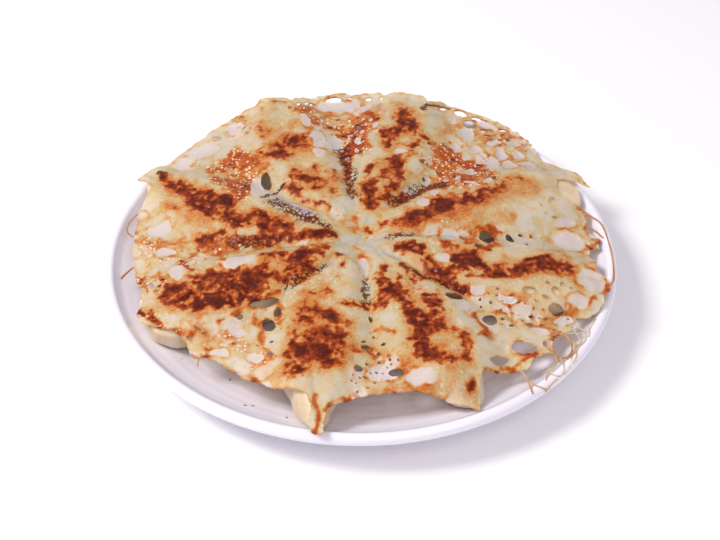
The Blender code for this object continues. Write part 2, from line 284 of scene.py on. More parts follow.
# %% Crusts on the dumplings
CRUST = [
    # gyoza_1, back left
    (0.54, 3.2, (-50, 84), (-48, 76)), (0.48, 2.6, (-34, 87), (-34, 83)),
    (0.57, 3, (-37, 74), (-30, 71), (-25, 73)), (0.43, 2, (-28, 68), (-27, 65)),
    (0.68, 4, (-44, 60), (-38, 59)), (0.54, 4, (-46, 66), (-38, 68)),
    (0.37, 2.2, (-33, 67), (-30, 62)), (0.57, 4.6, (-32, 46), (-31, 34)),
    (0.54, 3.4, (-28, 41), (-25, 37)),
    (0.66, 2.4, (-21, 48), (-22, 41), (-17, 37)), (0.57, 2.6, (-13, 45), (-11, 37)),
    (0.61, 2.4, (-20, 32), (-14, 33), (-10, 29)), (0.52, 2, (-37, 34), (-31, 30)),
    (0.61, 1.8, (-27, 25), (-20, 21), (-13, 16)), (0.52, 2.2, (-16, 27), (-13, 27)),
    # gyoza_2, back right
    (0.79, 4.2, (21, 96), (22, 88), (20, 80), (16, 74), (15, 68)),
    (0.76, 3.6, (27, 90), (28, 83), (25, 78)), (0.6, 3, (12, 78), (11, 73)),
    (0.76, 3, (32, 74), (29, 68), (26, 64)), (0.6, 2.4, (20, 66), (14, 64)),
    (0.63, 2.2, (4, 48), (10, 53), (18, 55), (26, 57)), (0.82, 4.6, (18, 50), (20, 39)),
    (0.74, 3, (13, 43), (10, 38), (4, 34)), (0.88, 3, (17, 33), (12, 28)),
    (0.88, 3.3, (3, 31), (3, 24), (6, 17)), (0.79, 2.4, (8, 19), (13, 25)),
    (0.51, 2.5, (3, 45), (3, 38)),
    # gyoza_3, right, towards the back
    (0.66, 3, (4, 2), (12, 6), (20, 8), (30, 11)), (0.66, 4, (22, 3), (28, 8)),
    (0.72, 5, (33, 15), (42, 19), (53, 24)), (0.67, 3.5, (36, 21), (48, 26)),
    (0.66, 3.8, (53, 25), (62, 32), (70, 37), (78, 44)),
    (0.49, 3.6, (28, 10), (40, 17), (50, 22), (62, 30)),
    # gyoza_4, right
    (1.0, 2.8, (17, -11), (22, -12), (28, -12)), (0.8, 3, (38, -9), (42, -11)),
    (0.95, 3.4, (30, -18), (32, -24), (40, -28), (46, -26), (49, -19)),
    (0.92, 3.2, (44, -20), (51, -17)), (0.95, 2.6, (77, -18), (86, -17)),
    (0.92, 3.8, (52, -22), (60, -26), (70, -26), (80, -22), (93, -20)),
    (0.65, 2.4, (50, -31), (62, -30), (72, -29)), (0.6, 1.4, (88, -21), (97, -19)),
    # gyoza_5, front right
    (0.75, 2.8, (11, -26), (10, -34), (12, -42)), (0.65, 2.2, (17, -32), (17, -34)),
    (0.9, 4.4, (14, -42), (18, -48), (20, -55), (28, -60)),
    (0.88, 4, (30, -46), (34, -52), (35, -57)), (0.72, 3, (24, -34), (24, -40)),
    (0.9, 4.2, (27, -62), (28, -68), (25, -73), (28, -78)),
    (0.72, 3, (34, -64), (42, -66), (46, -73)), (0.82, 3.4, (31, -80), (38, -84), (44, -82)),
    (0.6, 2, (46, -79), (46, -74)), (0.7, 2, (47, -91), (46, -92)),
    # gyoza_6, front
    (0.65, 2.6, (-22, -45), (-18, -44), (-14, -41)), (0.85, 4, (-24, -57), (-20, -55), (-16, -57)),
    (0.75, 3.2, (-12, -60), (-8, -62)), (0.92, 7, (-24, -73), (-13, -71)),
    (0.92, 7, (-23, -81), (-15, -80)), (0.75, 2.4, (-27, -91), (-24, -91)),
    (0.75, 3, (-14, -88), (-12, -86)), (0.5, 1.8, (-7, -19), (-8, -27)),
    (0.5, 1.5, (-10, -33), (-9, -34)), (0.95, 2.8, (-7, -50), (0, -51), (8, -50)),
    # gyoza_7, left, towards the front
    (0.88, 4, (-17, -14), (-24, -14), (-28, -20)), (0.88, 3.6, (-30, -19), (-42, -18)),
    (0.95, 4, (-24, -24), (-32, -28)), (0.9, 3.5, (-42, -27), (-47, -31), (-36, -32)),
    (0.85, 4, (-50, -30), (-58, -28), (-68, -30), (-74, -31)),
    (1.0, 6.4, (-64, -41), (-55, -39), (-47, -40)), (0.9, 3.8, (-75, -36), (-84, -37), (-87, -41)),
    (1.0, 5, (-80, -46), (-72, -49), (-58, -47)), (0.95, 3.4, (-74, -40), (-76, -44)),
    (0.75, 2.2, (-96, -48), (-93, -51), (-91, -56)),
    # gyoza_8, left
    (0.75, 2.4, (-97, 46), (-92, 39), (-86, 33)), (0.85, 4.6, (-86, 34), (-78, 29), (-63, 23)),
    (0.9, 4.2, (-80, 23), (-74, 18), (-66, 13), (-60, 10)), (1.0, 2.8, (-67, 24), (-61, 21)),
    (0.92, 3, (-58, 7), (-54, 4)), (0.88, 3.5, (-50, 12), (-42, 9), (-37, 4), (-32, 2)),
    (0.92, 2.8, (-50, 4), (-43, 2)), (0.88, 2.1, (-45, -2), (-34, -3), (-12, -2)),
    (0.6, 3, (-75, -2), (-64, 1)),
    # the steep side of gyoza_4: partly its dark crust, partly painted shade of a wall turned
    # from the lamp
    (1.0, 2.6, (20, -26), (27, -30), (34, -32), (41, -35), (46, -38)),
]
# Places in the crusts that stayed pale: centre and half sizes.
BARE = [
    ((-24, 34), (2, 2)), ((-22, 44), (2, 2)), ((17, 68), (2, 3)), ((22, 60), (5, 3)),
    ((38, -19), (4, 4)), ((38, -73), (4, 3)), ((26, -43), (3, 2)), ((-40, -24), (3, 3)),
    ((-35, -27), (2, 2)), ((-67, -40), (3, 2)), ((9, 33), (2, 3)), ((31, -70), (2, 2)),
]

# %% Toasted batter round the crusts
AMBER = [
    (0.34, 8, (-45, 84), (-42, 62)), (0.3, 7, (-30, 80), (-30, 60)), (0.3, 9, (-25, 42), (-20, 30)),
    (0.3, 8, (22, 92), (18, 68)), (0.3, 8, (14, 50), (8, 25)),
    (0.46, 7, (20, 5), (45, 16), (62, 24), (84, 37)), (0.3, 5, (45, 10), (55, 9)),
    (0.28, 6, (40, -16), (90, -22)), (0.3, 9, (22, -45), (30, -62), (38, -78)),
    (0.36, 3.5, (40, 75), (47, 89)), (0.3, 10, (-20, -50), (-20, -80)),
    (0.3, 9, (-30, -24), (-60, -38), (-80, -42)), (0.3, 8, (-40, 4), (-70, 18), (-92, 36)),
    (0.4, 3, (-92, 22), (-80, 11), (-72, 6)), (0.4, 2.5, (-94, 1), (-84, -1), (-78, 1)),
    (0.45, 1.4, (-88, -10), (-82, -13), (-76, -11), (-72, -17)), (0.34, 3, (-104, 4), (-98, -4)),
    (0.4, 1, (95, -19), (103, -17), (107, -21)), (0.34, 1.4, (80, -11), (90, -9), (96, -13)),
    (0.4, 2.6, (66, 14), (70, 11), (74, 14)), (0.36, 6, (-30, 98), (4, 95)),
    (0.34, 2, (50, -41), (62, -38), (74, -42)), (0.36, 3, (80, -56), (90, -50), (97, -44)),
    (0.34, 5, (-70, -62), (-50, -72), (-36, -90)), (0.36, 2.5, (0, -99), (30, -96)),
    (0.34, 3, (-5, -76), (10, -78), (20, -84)), (0.3, 4, (40, -92), (49, -99)),
    # The first stroke on the next line is painted shade along the left of the window at (105, -28).
    (0.35, 2, (98, -22), (97, -28), (99, -34)), (0.3, 3, (62, 92), (64, 76), (60, 66)),
    (0.36, 2, (64, 84), (80, 82), (84, 72)), (0.34, 3, (-62, -45), (-72, -55)),
]
LACE = [
    (0.6, 5, (-20, 87), (-8, 84), (3, 90)), (0.72, 4, (-7, 78), (-4, 62)),
    (0.72, 3.5, (2, 82), (3, 66)), (0.5, 3, (3, 97), (8, 90)), (0.4, 4, (-32, 97), (-24, 101)),
    (0.7, 8, (40, 66), (38, 54), (44, 38)), (0.72, 6, (50, 60), (61, 55), (61, 44)),
    (0.66, 5, (44, 48), (52, 41)), (0.64, 6, (-63, 65), (-56, 56), (-50, 50)),
    (0.62, 6, (-64, 55), (-60, 46), (-56, 36)),
    (0.55, 5, (-74, 52), (-72, 42), (-64, 38)), (0.7, 4, (-60, 33), (-56, 28), (-54, 40)),
    (0.64, 5, (-72, -3), (-65, -9), (-62, -18)), (0.5, 3, (-48, -9), (-26, -8)),
    (0.68, 1.4, (-84, -15), (-80, -20), (-76, -26)), (0.5, 2.6, (-101, -25), (-92, -27), (-88, -33)),
    (0.55, 1.2, (-99, -28), (-96, -38)), (0.66, 3.4, (51, -6), (53, 2), (60, 6)),
    (0.7, 2.4, (63, 5), (64, -8), (57, -13)), (0.62, 1.4, (47, 0), (50, -8)),
    (0.6, 1.3, (37, 2), (37, -7)),
    (0.7, 1.8, (-45, -54), (-44, -62), (-42, -72), (-38, -80)), (0.6, 1.5, (-35, -49), (-34, -64)),
    (0.66, 2, (-44, -50), (-52, -52), (-61, -59)), (0.55, 1.4, (-47, -45), (-36, -42)),
    (0.7, 2, (52, -50), (51, -57), (55, -62)), (0.6, 1, (55, -49), (62, -49), (70, -50)),
    (0.6, 2.4, (52, -67), (58, -64)), (0.55, 1.2, (5, -65), (9, -62), (15, -66)),
    (0.5, 1.4, (-3, -78), (8, -78), (14, -77)), (0.7, 1.3, (53, -85), (60, -81), (68, -79.5), (76, -73)),
    (0.55, 1, (83, -68), (85, -61), (88, -59), (92, -63), (91, -71)), (0.5, 1.4, (66, -75), (76, -74)),
    (0.5, 1.5, (49, -37), (49, -42)), (0.74, 1.5, (-19, -101), (-18, -110), (-18.5, -119)),
    (0.66, 1.2, (-14, -107), (-4, -102)), (0.6, 2, (-97, -47), (-93, -53), (-86, -59)),
    (0.45, 2, (-80, -61), (-73, -65)), (0.45, 1.5, (-53, -86), (-44, -91)),
    (0.55, 1.5, (-73, -76), (-64, -76)),
    (0.66, 1.4, (108, 14), (108.5, 8), (113, 5), (111, 2), (108, 0)),
    (0.5, 1, (104, 27), (110, 24), (113, 22)),
    (0.6, 1.6, (103, -41), (107, -38), (112, -31)), (0.7, 1.4, (45, -92), (48, -90)),
    (0.5, 1.6, (107, 47), (114, 43)), (0.55, 2, (-3, 14), (-2, 4)),
    (0.75, 3.6, (20, 24), (30, 31), (38, 34)), (0.7, 3, (-61, -4), (-44, -5)),
    (0.7, 2.6, (-8, 60), (-4, 30)),
]
# Strings and skins that all but burned, on the steep films beside the dumplings.
BURNT = [
    (0.66, 2.8, (-10, 66), (-8, 58), (-6, 50), (-4, 40), (-3, 27)),
    (0.95, 1.2, (-47.5, 27), (-42, 30), (-38.4, 35)),
    (0.72, 4.5, (17, 22), (25, 28), (30, 34), (38, 35)), (0.68, 4.6, (-41, 21), (-33, 15), (-27, 12)),
    # The second stroke on the next line darkens the steep side of gyoza_4, partly as painted shade.
    (0.64, 3.2, (-24, 9), (-14, 3)), (0.55, 2.2, (22, -28), (34, -33), (45, -38)),
    (0.62, 2.6, (-62, -4), (-50, -6), (-40, -5)), (0.55, 2.6, (2, -34), (3, -47)),
    (0.6, 2.4, (-34, -38), (-27, -33), (-15, -24)), (0.66, 2, (13, -4), (24, -3)),
    (1.0, 1.1, (-100, 49.5), (-95, 48)), (1.0, 1.2, (33, 98), (34, 102), (39, 104)),
    (0.8, 1, (39, 104), (46, 105)), (0.55, 2, (-8, 68), (-6, 62)),
]
print(len(CRUST) + len(AMBER) + len(LACE) + len(BURNT), "strokes")

# %% [markdown]
# ## Holes
# Steam blew holes in the batter while it dried. The large ones are listed: centre, half
# sizes and turn in degrees. Between them the batter foamed to a lace of small bubbles, and
# seas of still smaller ones stayed shut as a froth. Big bubbles that set without breaking
# left windows: panes of very thin film, a little sunken, each in a browned frame. Froth dots
# and windows are painted whitish, partly as the pale film itself and partly as painted
# light of the lit plate seen through it; some windows stand where holes showed that plate.

# %% Holes listed one by one
HOLES = [
    # along the back rim
    ((-41.5, 104), (3.8, 1.3), 0), ((-32, 103), (1, 2.2), -15), ((-28.5, 106.5), (0.8, 2), -15),
    ((-26, 107), (0.8, 1.3), 0), ((-14, 111.5), (4.2, 2.2), -5), ((-5, 113), (2.6, 0.9), 0),
    ((4.5, 111.5), (1.7, 1.6), -40), ((9.6, 100), (0.8, 3), 10), ((11.5, 109), (0.9, 1.3), 0),
    ((43, 104), (2, 1.4), 25), ((52.4, 101.5), (3.9, 2.1), -30), ((60.8, 98), (3.1, 1.5), -20),
    ((56.5, 92.5), (3.1, 3.7), 10), ((73, 88.7), (2.3, 1), 0),
    # between gyoza_1 and gyoza_2
    ((-0.7, 85), (1.6, 2.8), 20),
    # between gyoza_3 and gyoza_4
    ((59, -1.5), (3.7, 6), 0), ((54.5, -10.7), (1.9, 1.5), -30), ((59.5, -13.5), (0.9, 0.8), 0),
    ((70, -0.3), (1.8, 4.3), 12), ((75, 3.2), (0.9, 1), 40), ((80.5, 3.2), (0.7, 1.2), 0),
    ((77.5, -5.5), (0.8, 1.4), 0), ((92, 26.5), (1.6, 2.4), -30), ((88.4, 18.2), (0.7, 0.5), 20),
    ((92.5, 17), (1.3, 0.7), 20), ((86.7, 22.5), (0.5, 0.8), 0), ((111, 12), (1.9, 3.4), 25),
    # between gyoza_4 and gyoza_5
    ((42, -42.5), (4, 2.4), 15), ((57, -54.7), (3.4, 4), -10), ((63, -53.3), (1, 0.9), 0),
    ((66.3, -57), (1.4, 1.1), 10), ((62, -57), (0.9, 0.6), 0), ((75.2, -51.2), (1.3, 0.9), 0),
    ((74.5, -56.5), (1.9, 0.9), 0), ((69.5, -50.5), (0.5, 0.5), 0), ((70, -44.5), (1.3, 0.5), 5),
    ((73, -45), (0.7, 0.5), 0), ((77, -47.3), (0.6, 0.9), 0), ((82.6, -41.2), (1.4, 1), -20),
    ((84.5, -33), (0.9, 1.2), 0), ((91, -33), (1.3, 1.6), 0), ((87.7, -37.5), (1.7, 2.3), 25),
    ((94.5, -35), (1, 0.8), 0), ((87, -46.7), (3.5, 2.9), 0), ((82.2, -52), (1.5, 0.6), 30),
    ((76, -38.3), (3.3, 2.1), -5), ((55, -67), (2.2, 1.1), 0),
    # beside the net at the front right
    ((70.5, -70), (5.4, 3.6), 5), ((59.5, -78.3), (5, 1.7), 20), ((80, -66.5), (1.2, 2), -10),
    # between gyoza_5 and gyoza_6
    ((-0.5, -87), (2, 1.8), 20), ((15.3, -87.4), (3.3, 2.1), -5), ((2.2, -90.7), (1.2, 0.6), 0),
    ((-0.1, -91.4), (0.7, 0.6), 0), ((8.4, -82), (0.9, 0.8), 0), ((8, -77), (0.8, 1.2), 20),
    ((2.4, -74.3), (2.2, 1.5), 35), ((1.5, -71.3), (1.3, 0.7), 30), ((9.9, -72.2), (1.1, 0.9), -20),
    ((5.8, -68), (0.7, 0.6), 0), ((5, -57.5), (0.9, 1.9), 10), ((-3.4, -94), (0.7, 0.6), 0),
    ((-1.5, -94.8), (0.6, 0.5), 0), ((3.2, -96.3), (1, 0.6), 0),
    # between gyoza_6 and gyoza_7
    ((-42.3, -47), (6.8, 2.4), 16), ((-39.7, -60.5), (2.6, 4.6), 22), ((-36.3, -53), (1.6, 3.2), -5),
    ((-52.8, -55.5), (1.9, 1.3), 0), ((-38.3, -71.5), (1, 0.9), -30), ((-38, -78), (1.1, 1.9), 30),
    ((-54.2, -69.2), (0.8, 0.6), 0), ((-44, -71), (0.7, 0.5), -40), ((-70.5, -62), (1.9, 0.7), -25),
    ((-67.3, -64.4), (1.3, 0.7), 0), ((-74, -66), (1.2, 0.9), 0), ((-66, -72.3), (0.8, 0.4), 0),
    ((-9, -17), (2.1, 1), -25),
    # between gyoza_7 and gyoza_8, and gyoza_8 and gyoza_1
    ((-75, -7.3), (0.9, 0.9), 0), ((-99, -1.5), (0.8, 1.4), 0), ((-91.5, -12), (0.8, 1.2), 40),
    ((-94, -33.5), (1.4, 2.2), 25), ((-97, -34.5), (0.6, 1.7), 10), ((-97, -25.5), (1.8, 0.7), -30),
    ((-92.5, -30), (0.6, 0.8), 0), ((-45.8, 39.5), (2.7, 6.4), 8), ((-65, 56.2), (1.2, 1.7), 0),
    ((-73.5, 79.5), (1.8, 1.5), 0), ((-55.5, 33.5), (0.9, 3.3), -5),
]
print(len(HOLES), "placed holes")

# %% Patches of lace and froth
# Bubbled lace: largest and smallest bubble radius, web between them, and the stroke to fill.
BUBBLED = [
    (1.2, 0.5, 9.0, (7, (-20, 88), (4, 88))), (1.3, 0.5, 5.0, (6, (-9, 80), (1, 60))),
    (1.2, 0.5, 9.0, (9, (40, 66), (39, 46))), (1.1, 0.5, 9.0, (7, (48, 58), (62, 46))),
    (1.2, 0.5, 1.4, (5, (-101, -26), (-92, -34))),
    (0.7, 0.5, 1.6, (6, (0, -94), (12, -84))), (0.7, 0.5, 2.6, (8, (60, -44), (86, -52))),
    (0.9, 0.5, 1.6, (4, (-62, 92), (-57, 82))), (1.3, 0.6, 2.4, (5, (62, 84), (84, 76))),
    (1.0, 0.5, 1.2, (3, (-34, 99), (-24, 102))),
]
# Seas of small shut bubbles, paler than the web round them: strength, half width, points.
# Their pale dots are partly painted light of the lit plate seen through the lace.
FROTH = [
    (1.0, 8, (-63, 62), (-56, 42)), (1.0, 6, (-74, 52), (-66, 40)), (1.0, 5, (-58, 32), (-56, 28)),
    (1.0, 8, (40, 68), (38, 46)), (1.0, 7, (48, 58), (62, 46)), (1.0, 4, (40, 35), (54, 35)),
    (1.0, 6, (-20, 88), (4, 88)), (1.0, 6, (-8, 80), (1, 62)), (0.8, 4, (2, 58), (-4, 48)),
    (0.8, 6, (-102, 4), (-98, -12)), (0.9, 3, (-90, -14), (-76, -20)), (0.9, 4, (-100, -26), (-90, -32)),
    (0.8, 4, (-96, -52), (-80, -60)), (0.7, 5, (-60, -66), (-40, -80)), (0.7, 3, (44, 8), (36, 4)),
    (0.7, 3, (-58, -7), (-66, -9)), (0.6, 5, (62, 88), (82, 78)), (0.6, 4, (-36, 96), (-24, 100)),
]
print(len(BUBBLED), "patches of lace,", len(FROTH), "seas of froth")

# %% Windows
# Bubbles that dried into whitish panes: centre, half sizes and turn. The whitish paint is
# partly the pale film and partly painted light of the lit plate seen through; some panes
# stand where open holes showed that plate.
WINDOWS = [
    ((-80, 70), (9, 6), 45), ((-64, 88), (5, 6), 45), ((-88, 60), (6, 5), 45),
    ((65.5, 59), (4, 7.6), 5),
    ((55, 84), (5, 6), 0), ((66, 93), (8, 3), -30), ((43, -1.5), (4.6, 5), 0), ((98, 2), (9, 8), 0),
    ((98, 15), (6, 3.6), 20), ((30, 20), (3.4, 3), 30), ((36, 27), (2, 2), 0),
    ((-84, -25), (4, 6.5), 15), ((-78, -19), (2.4, 2.6), 30), ((-90, -7), (4.5, 3), -20),
    ((-95, 9), (6, 5), 0), ((46, -48), (3.4, 4), -30), ((66, -43), (5, 2.4), 0), ((53, -37), (4, 2.6), 0),
    ((98, -41), (5.6, 4), 0), ((70, -70), (6, 4), 0), ((1, -24), (3, 7), 10), ((9, -87), (7, 5), 0),
    ((25, -91), (8, 4), -10), ((-54, -62), (4, 2.6), 0), ((-45, -79), (4, 3), -20),
    ((-60, -74), (5, 3), -20),
    ((-27, 88), (3, 7), 10), ((-21, 72), (4, 8), 5), ((-20, 60), (4, 5), 20), ((-12, 105), (12, 5), 0),
    ((3, 104), (5, 4), 0), ((21, 60), (4, 2), 0), ((-55, -21), (9, 4), 10), ((-29, 17), (9, 4), -35),
    ((105, -28), (6, 8), 20), ((38, -19), (4, 4), 0), ((48, 72), (3, 4), 0),
    ((-50.6, 35.5), (2.7, 9), -5), ((90, -52), (5, 3), 30), ((79, -60), (4, 3), 0),
    ((-2, 73), (1.9, 4), 20), ((-7.2, 60), (2.2, 1.9), 0), ((-5.5, 79.5), (1.7, 0.9), -20),
    ((-6.3, 76), (0.9, 1.2), 0), ((2, 93), (0.8, 1.9), 25), ((5, 90), (1.5, 1.2), -20),
    ((7, 84.5), (1.1, 2.2), -10), ((-2, 64), (1.2, 2), 20), ((-28.5, 93), (1.3, 1), 20),
    ((47, 42.3), (1.9, 3.3), 8), ((40, 41), (1.1, 2.6), 5), ((55, 37), (4.6, 1.4), -5),
    ((62.5, 40), (3, 1.2), 30), ((64.8, 51.5), (0.9, 3.4), 8), ((47.9, 54.8), (1, 1.2), 0),
    ((32, 42), (2.5, 3.2), 15), ((71.6, 67.5), (2.9, 6.6), 0), ((68, 77.3), (4, 2.2), 30),
    ((75, 57.5), (4.2, 4.8), -20), ((84, 58.5), (4.8, 5.6), 0), ((61, 66.5), (2.4, 3), 0),
    ((79, 68), (2.6, 3.6), -10), ((-12.5, 72), (4.8, 7.6), 8), ((-17, 69), (2.4, 2.8), 0),
    ((54.5, 49), (3.1, 5), 0), ((0.5, 81), (1.4, 1.6), 0),
]
print(len(WINDOWS), "windows")

# %% [markdown]
# ## The rim of the sheet
# The batter ran out to the pan's wall in some bays and dried back in others, so the rim is a
# ring of shallow bays between the dumplings' ends. The points go round anticlockwise from the
# right. Fine raggedness comes from the speckle later, so the points only give the big shape.

# %% Outline
OUTLINE = [
    (108, 0), (110, -0.5), (113, 0), (112, 3), (114, 6), (111, 8), (109, 10), (108, 16),
    (108.5, 19), (110, 22), (107, 25), (103, 28), (98, 31), (96, 38), (97, 45), (103, 47), (108, 46),
    (113.5, 42.5), (110, 50), (105, 57), (98, 62), (92, 65), (89, 68), (88.5, 74), (87, 80),
    (80, 89.5), (72, 96), (62, 101.5), (52, 106.5), (43, 110.5), (39, 108.5), (36, 106.5),
    (34, 110), (27, 112), (18, 112), (13, 111), (10, 115.5), (3, 117), (-8, 117),
    (-20, 115.5), (-30, 111.5), (-36, 107), (-40, 109), (-47, 108), (-52, 106),
    (-55, 101), (-60, 100), (-66, 96.5), (-76, 87),
    (-82, 79), (-88, 71.5), (-96, 61.5), (-101, 53), (-107, 47), (-109, 43.5), (-104, 41),
    (-101, 37.5), (-102.5, 33), (-105, 28), (-107, 24), (-106.5, 10), (-106.5, 0),
    (-108, -3), (-105.5, -10), (-104, -18), (-102, -26), (-98.5, -34),
    (-96.8, -43), (-98.5, -50), (-97, -54), (-93, -57.5),
    (-86, -60), (-80, -62), (-76.5, -67), (-73, -74), (-66, -76), (-59, -80), (-53, -86),
    (-48, -90), (-41, -92.5), (-34, -96.5), (-28, -99), (-22, -102), (-20.5, -108), (-20.5, -115),
    (-20.5, -119), (-18, -120.5), (-15, -119.5), (-14.6, -113), (-14, -107), (-10, -104.5),
    (-4, -102), (2, -101), (10, -99), (18, -98), (27, -96), (36, -97), (42, -100), (48, -102),
    (51, -101.5), (49, -97.5), (50, -91), (52, -86), (57, -83), (62, -81.5), (70.5, -81.5),
    (75.5, -75), (79, -73), (82.5, -71.5), (83, -66), (84.5, -62), (88, -59.5), (92, -58),
    (94, -53.5), (96, -50), (101, -49), (105, -46), (109.5, -40), (110.5, -36), (113.5, -31),
    (111, -25), (108, -20), (109, -14), (107, -7),
]
print(len(OUTLINE), "points round the rim")

# %% [markdown]
# ## From strokes and holes to fields
# A field is a number at every point of the dish. Each function below takes plan positions in
# millimetres as arrays, so that a quarter of a million points cost a second or two. The
# positions are first warped by a little speckle, which is what turns drawn ovals and lines
# into shapes that look grown.

# %% Strokes and ovals as fields


def warp(x, y, much, seed):
    """Plan positions shaken by up to much millimetres, in three sizes."""
    for size, share in ((8, 0.5), (3.5, 0.35), (1.6, 0.15)):
        x, y = (x + share * much * speckle(x, y, size, seed),
                y + share * much * speckle(x, y, size, seed + 50))
        seed += 1
    return x, y


def line_distance(x, y, points):
    """Distance to a run of points."""
    if len(points) == 1:
        return np.hypot(x - points[0][0], y - points[0][1])
    nearest = np.inf
    for (ax, ay), (bx, by) in zip(points, points[1:]):
        run_x, run_y = bx - ax, by - ay
        share = ((x - ax) * run_x + (y - ay) * run_y) / (run_x ** 2 + run_y ** 2)
        share = np.clip(share, 0, 1)
        nearest = np.minimum(nearest, np.hypot(x - ax - share * run_x, y - ay - share * run_y))
    return nearest


def stroke_sum(x, y, strokes):
    """How strongly the strokes cover each point, 0 to 1."""
    clear = 1 + 0 * x
    for depth, half, *points in strokes:
        clear = clear * (1 - depth * np.exp(-0.75 * (line_distance(x, y, points) / half) ** 2))
    return 1 - clear


def oval(x, y, centre, half, turn=0):
    """Distance from an oval's centre as a share of its half sizes: 1 on its edge."""
    c, s = math.cos(math.radians(turn)), math.sin(math.radians(turn))
    along = (x - centre[0]) * c + (y - centre[1]) * s
    across = (y - centre[1]) * c - (x - centre[0]) * s
    return np.hypot(along / half[0], across / half[1])


def outline_distance(x, y):
    """Distance to the outline, positive outside it."""
    nearest = line_distance(x, y, OUTLINE + OUTLINE[:1])
    inside = np.zeros(np.shape(x), bool)
    for (ax, ay), (bx, by) in zip(OUTLINE, OUTLINE[1:] + OUTLINE[:1]):
        if ay != by:
            inside ^= ((ay > y) != (by > y)) & (x < ax + (bx - ax) * (y - ay) / (by - ay))
    return np.where(inside, -nearest, nearest)

# %% [markdown]
# ## Bubbles of the lace
# Bubbles in a foam crowd each other but never overlap. So random round holes are dropped
# along a stroke, largest first, and one that would touch its neighbours is thrown away. What
# is left between them is the web. A hole's depth is how far inside its edge a point is, and
# one function joins all holes and the rim, so the same curve bounds every kind of gap.

# %% Bubbles of the lace


def drop_bubbles(rows, seed):
    """The lace's bubbles, as rows of x, y, radius, stretch and turn."""
    dice = np.random.default_rng(seed)
    kept = [(*centre, min(half) + 0.3) for centre, half, _ in HOLES]
    placed = len(kept)
    for largest, smallest, web, (half, *points) in rows:
        corners = np.array(points)
        low, high = corners.min(0) - half, corners.max(0) + half
        tries = int(2.2 * np.prod(high - low))
        spots = dice.uniform(low, high, (tries, 2))
        sizes = np.sort(smallest + (largest - smallest) * dice.random(tries) ** 5)[::-1]
        spots = np.column_stack([spots, sizes])
        away = line_distance(spots[:, 0], spots[:, 1], points)
        webs = web * dice.uniform(0.6, 2.2, tries)
        inside = away < half * dice.uniform(0.4, 1.05, tries)
        for x, y, radius, gap in np.column_stack([spots, webs])[inside]:
            near = np.array(kept)
            if (np.hypot(near[:, 0] - x, near[:, 1] - y) - near[:, 2] - radius).min() > gap:
                kept.append((x, y, radius))
    made = np.array(kept[placed:])
    stretch = dice.uniform(1, 1.5, len(made))
    turn = np.arctan2(made[:, 1], made[:, 0]) + dice.normal(0, 0.5, len(made))
    return np.column_stack([made, stretch, turn])


def bubble_depth(x, y, bubbles, seed):
    """Millimetres into the nearest bubble, negative outside them all."""
    deepest = 0 * x - 9
    shaken_x, shaken_y = warp(x, y, 0.8, seed)
    for centre_x, centre_y, radius, stretch, turn in bubbles:
        near = (abs(x - centre_x) < 5) & (abs(y - centre_y) < 5)
        away_x, away_y = shaken_x[near] - centre_x, shaken_y[near] - centre_y
        along = (away_x * math.cos(turn) + away_y * math.sin(turn)) / stretch
        across = away_y * math.cos(turn) - away_x * math.sin(turn)
        deepest[near] = np.maximum(deepest[near], radius - np.hypot(along, across))
    return deepest


OPEN_BUBBLES = drop_bubbles(BUBBLED, 7)
print(len(OPEN_BUBBLES), "open bubbles")

# %% Everything that is not film


def void(x, y):
    """Millimetres into a hole or outside the rim, negative on the sheet."""
    rim_x, rim_y = warp(x, y, 1.3, 61)
    deepest = outline_distance(rim_x, rim_y) + 0.25 * speckle(x, y, 1.4, 71)
    hole_x, hole_y = warp(x, y, 0.8, 81)
    for centre, half, turn in HOLES:
        depth = (1 - oval(hole_x, hole_y, centre, half, turn)) * min(half)
        deepest = np.maximum(deepest, depth)
    return np.maximum(deepest, bubble_depth(x, y, OPEN_BUBBLES, 85))
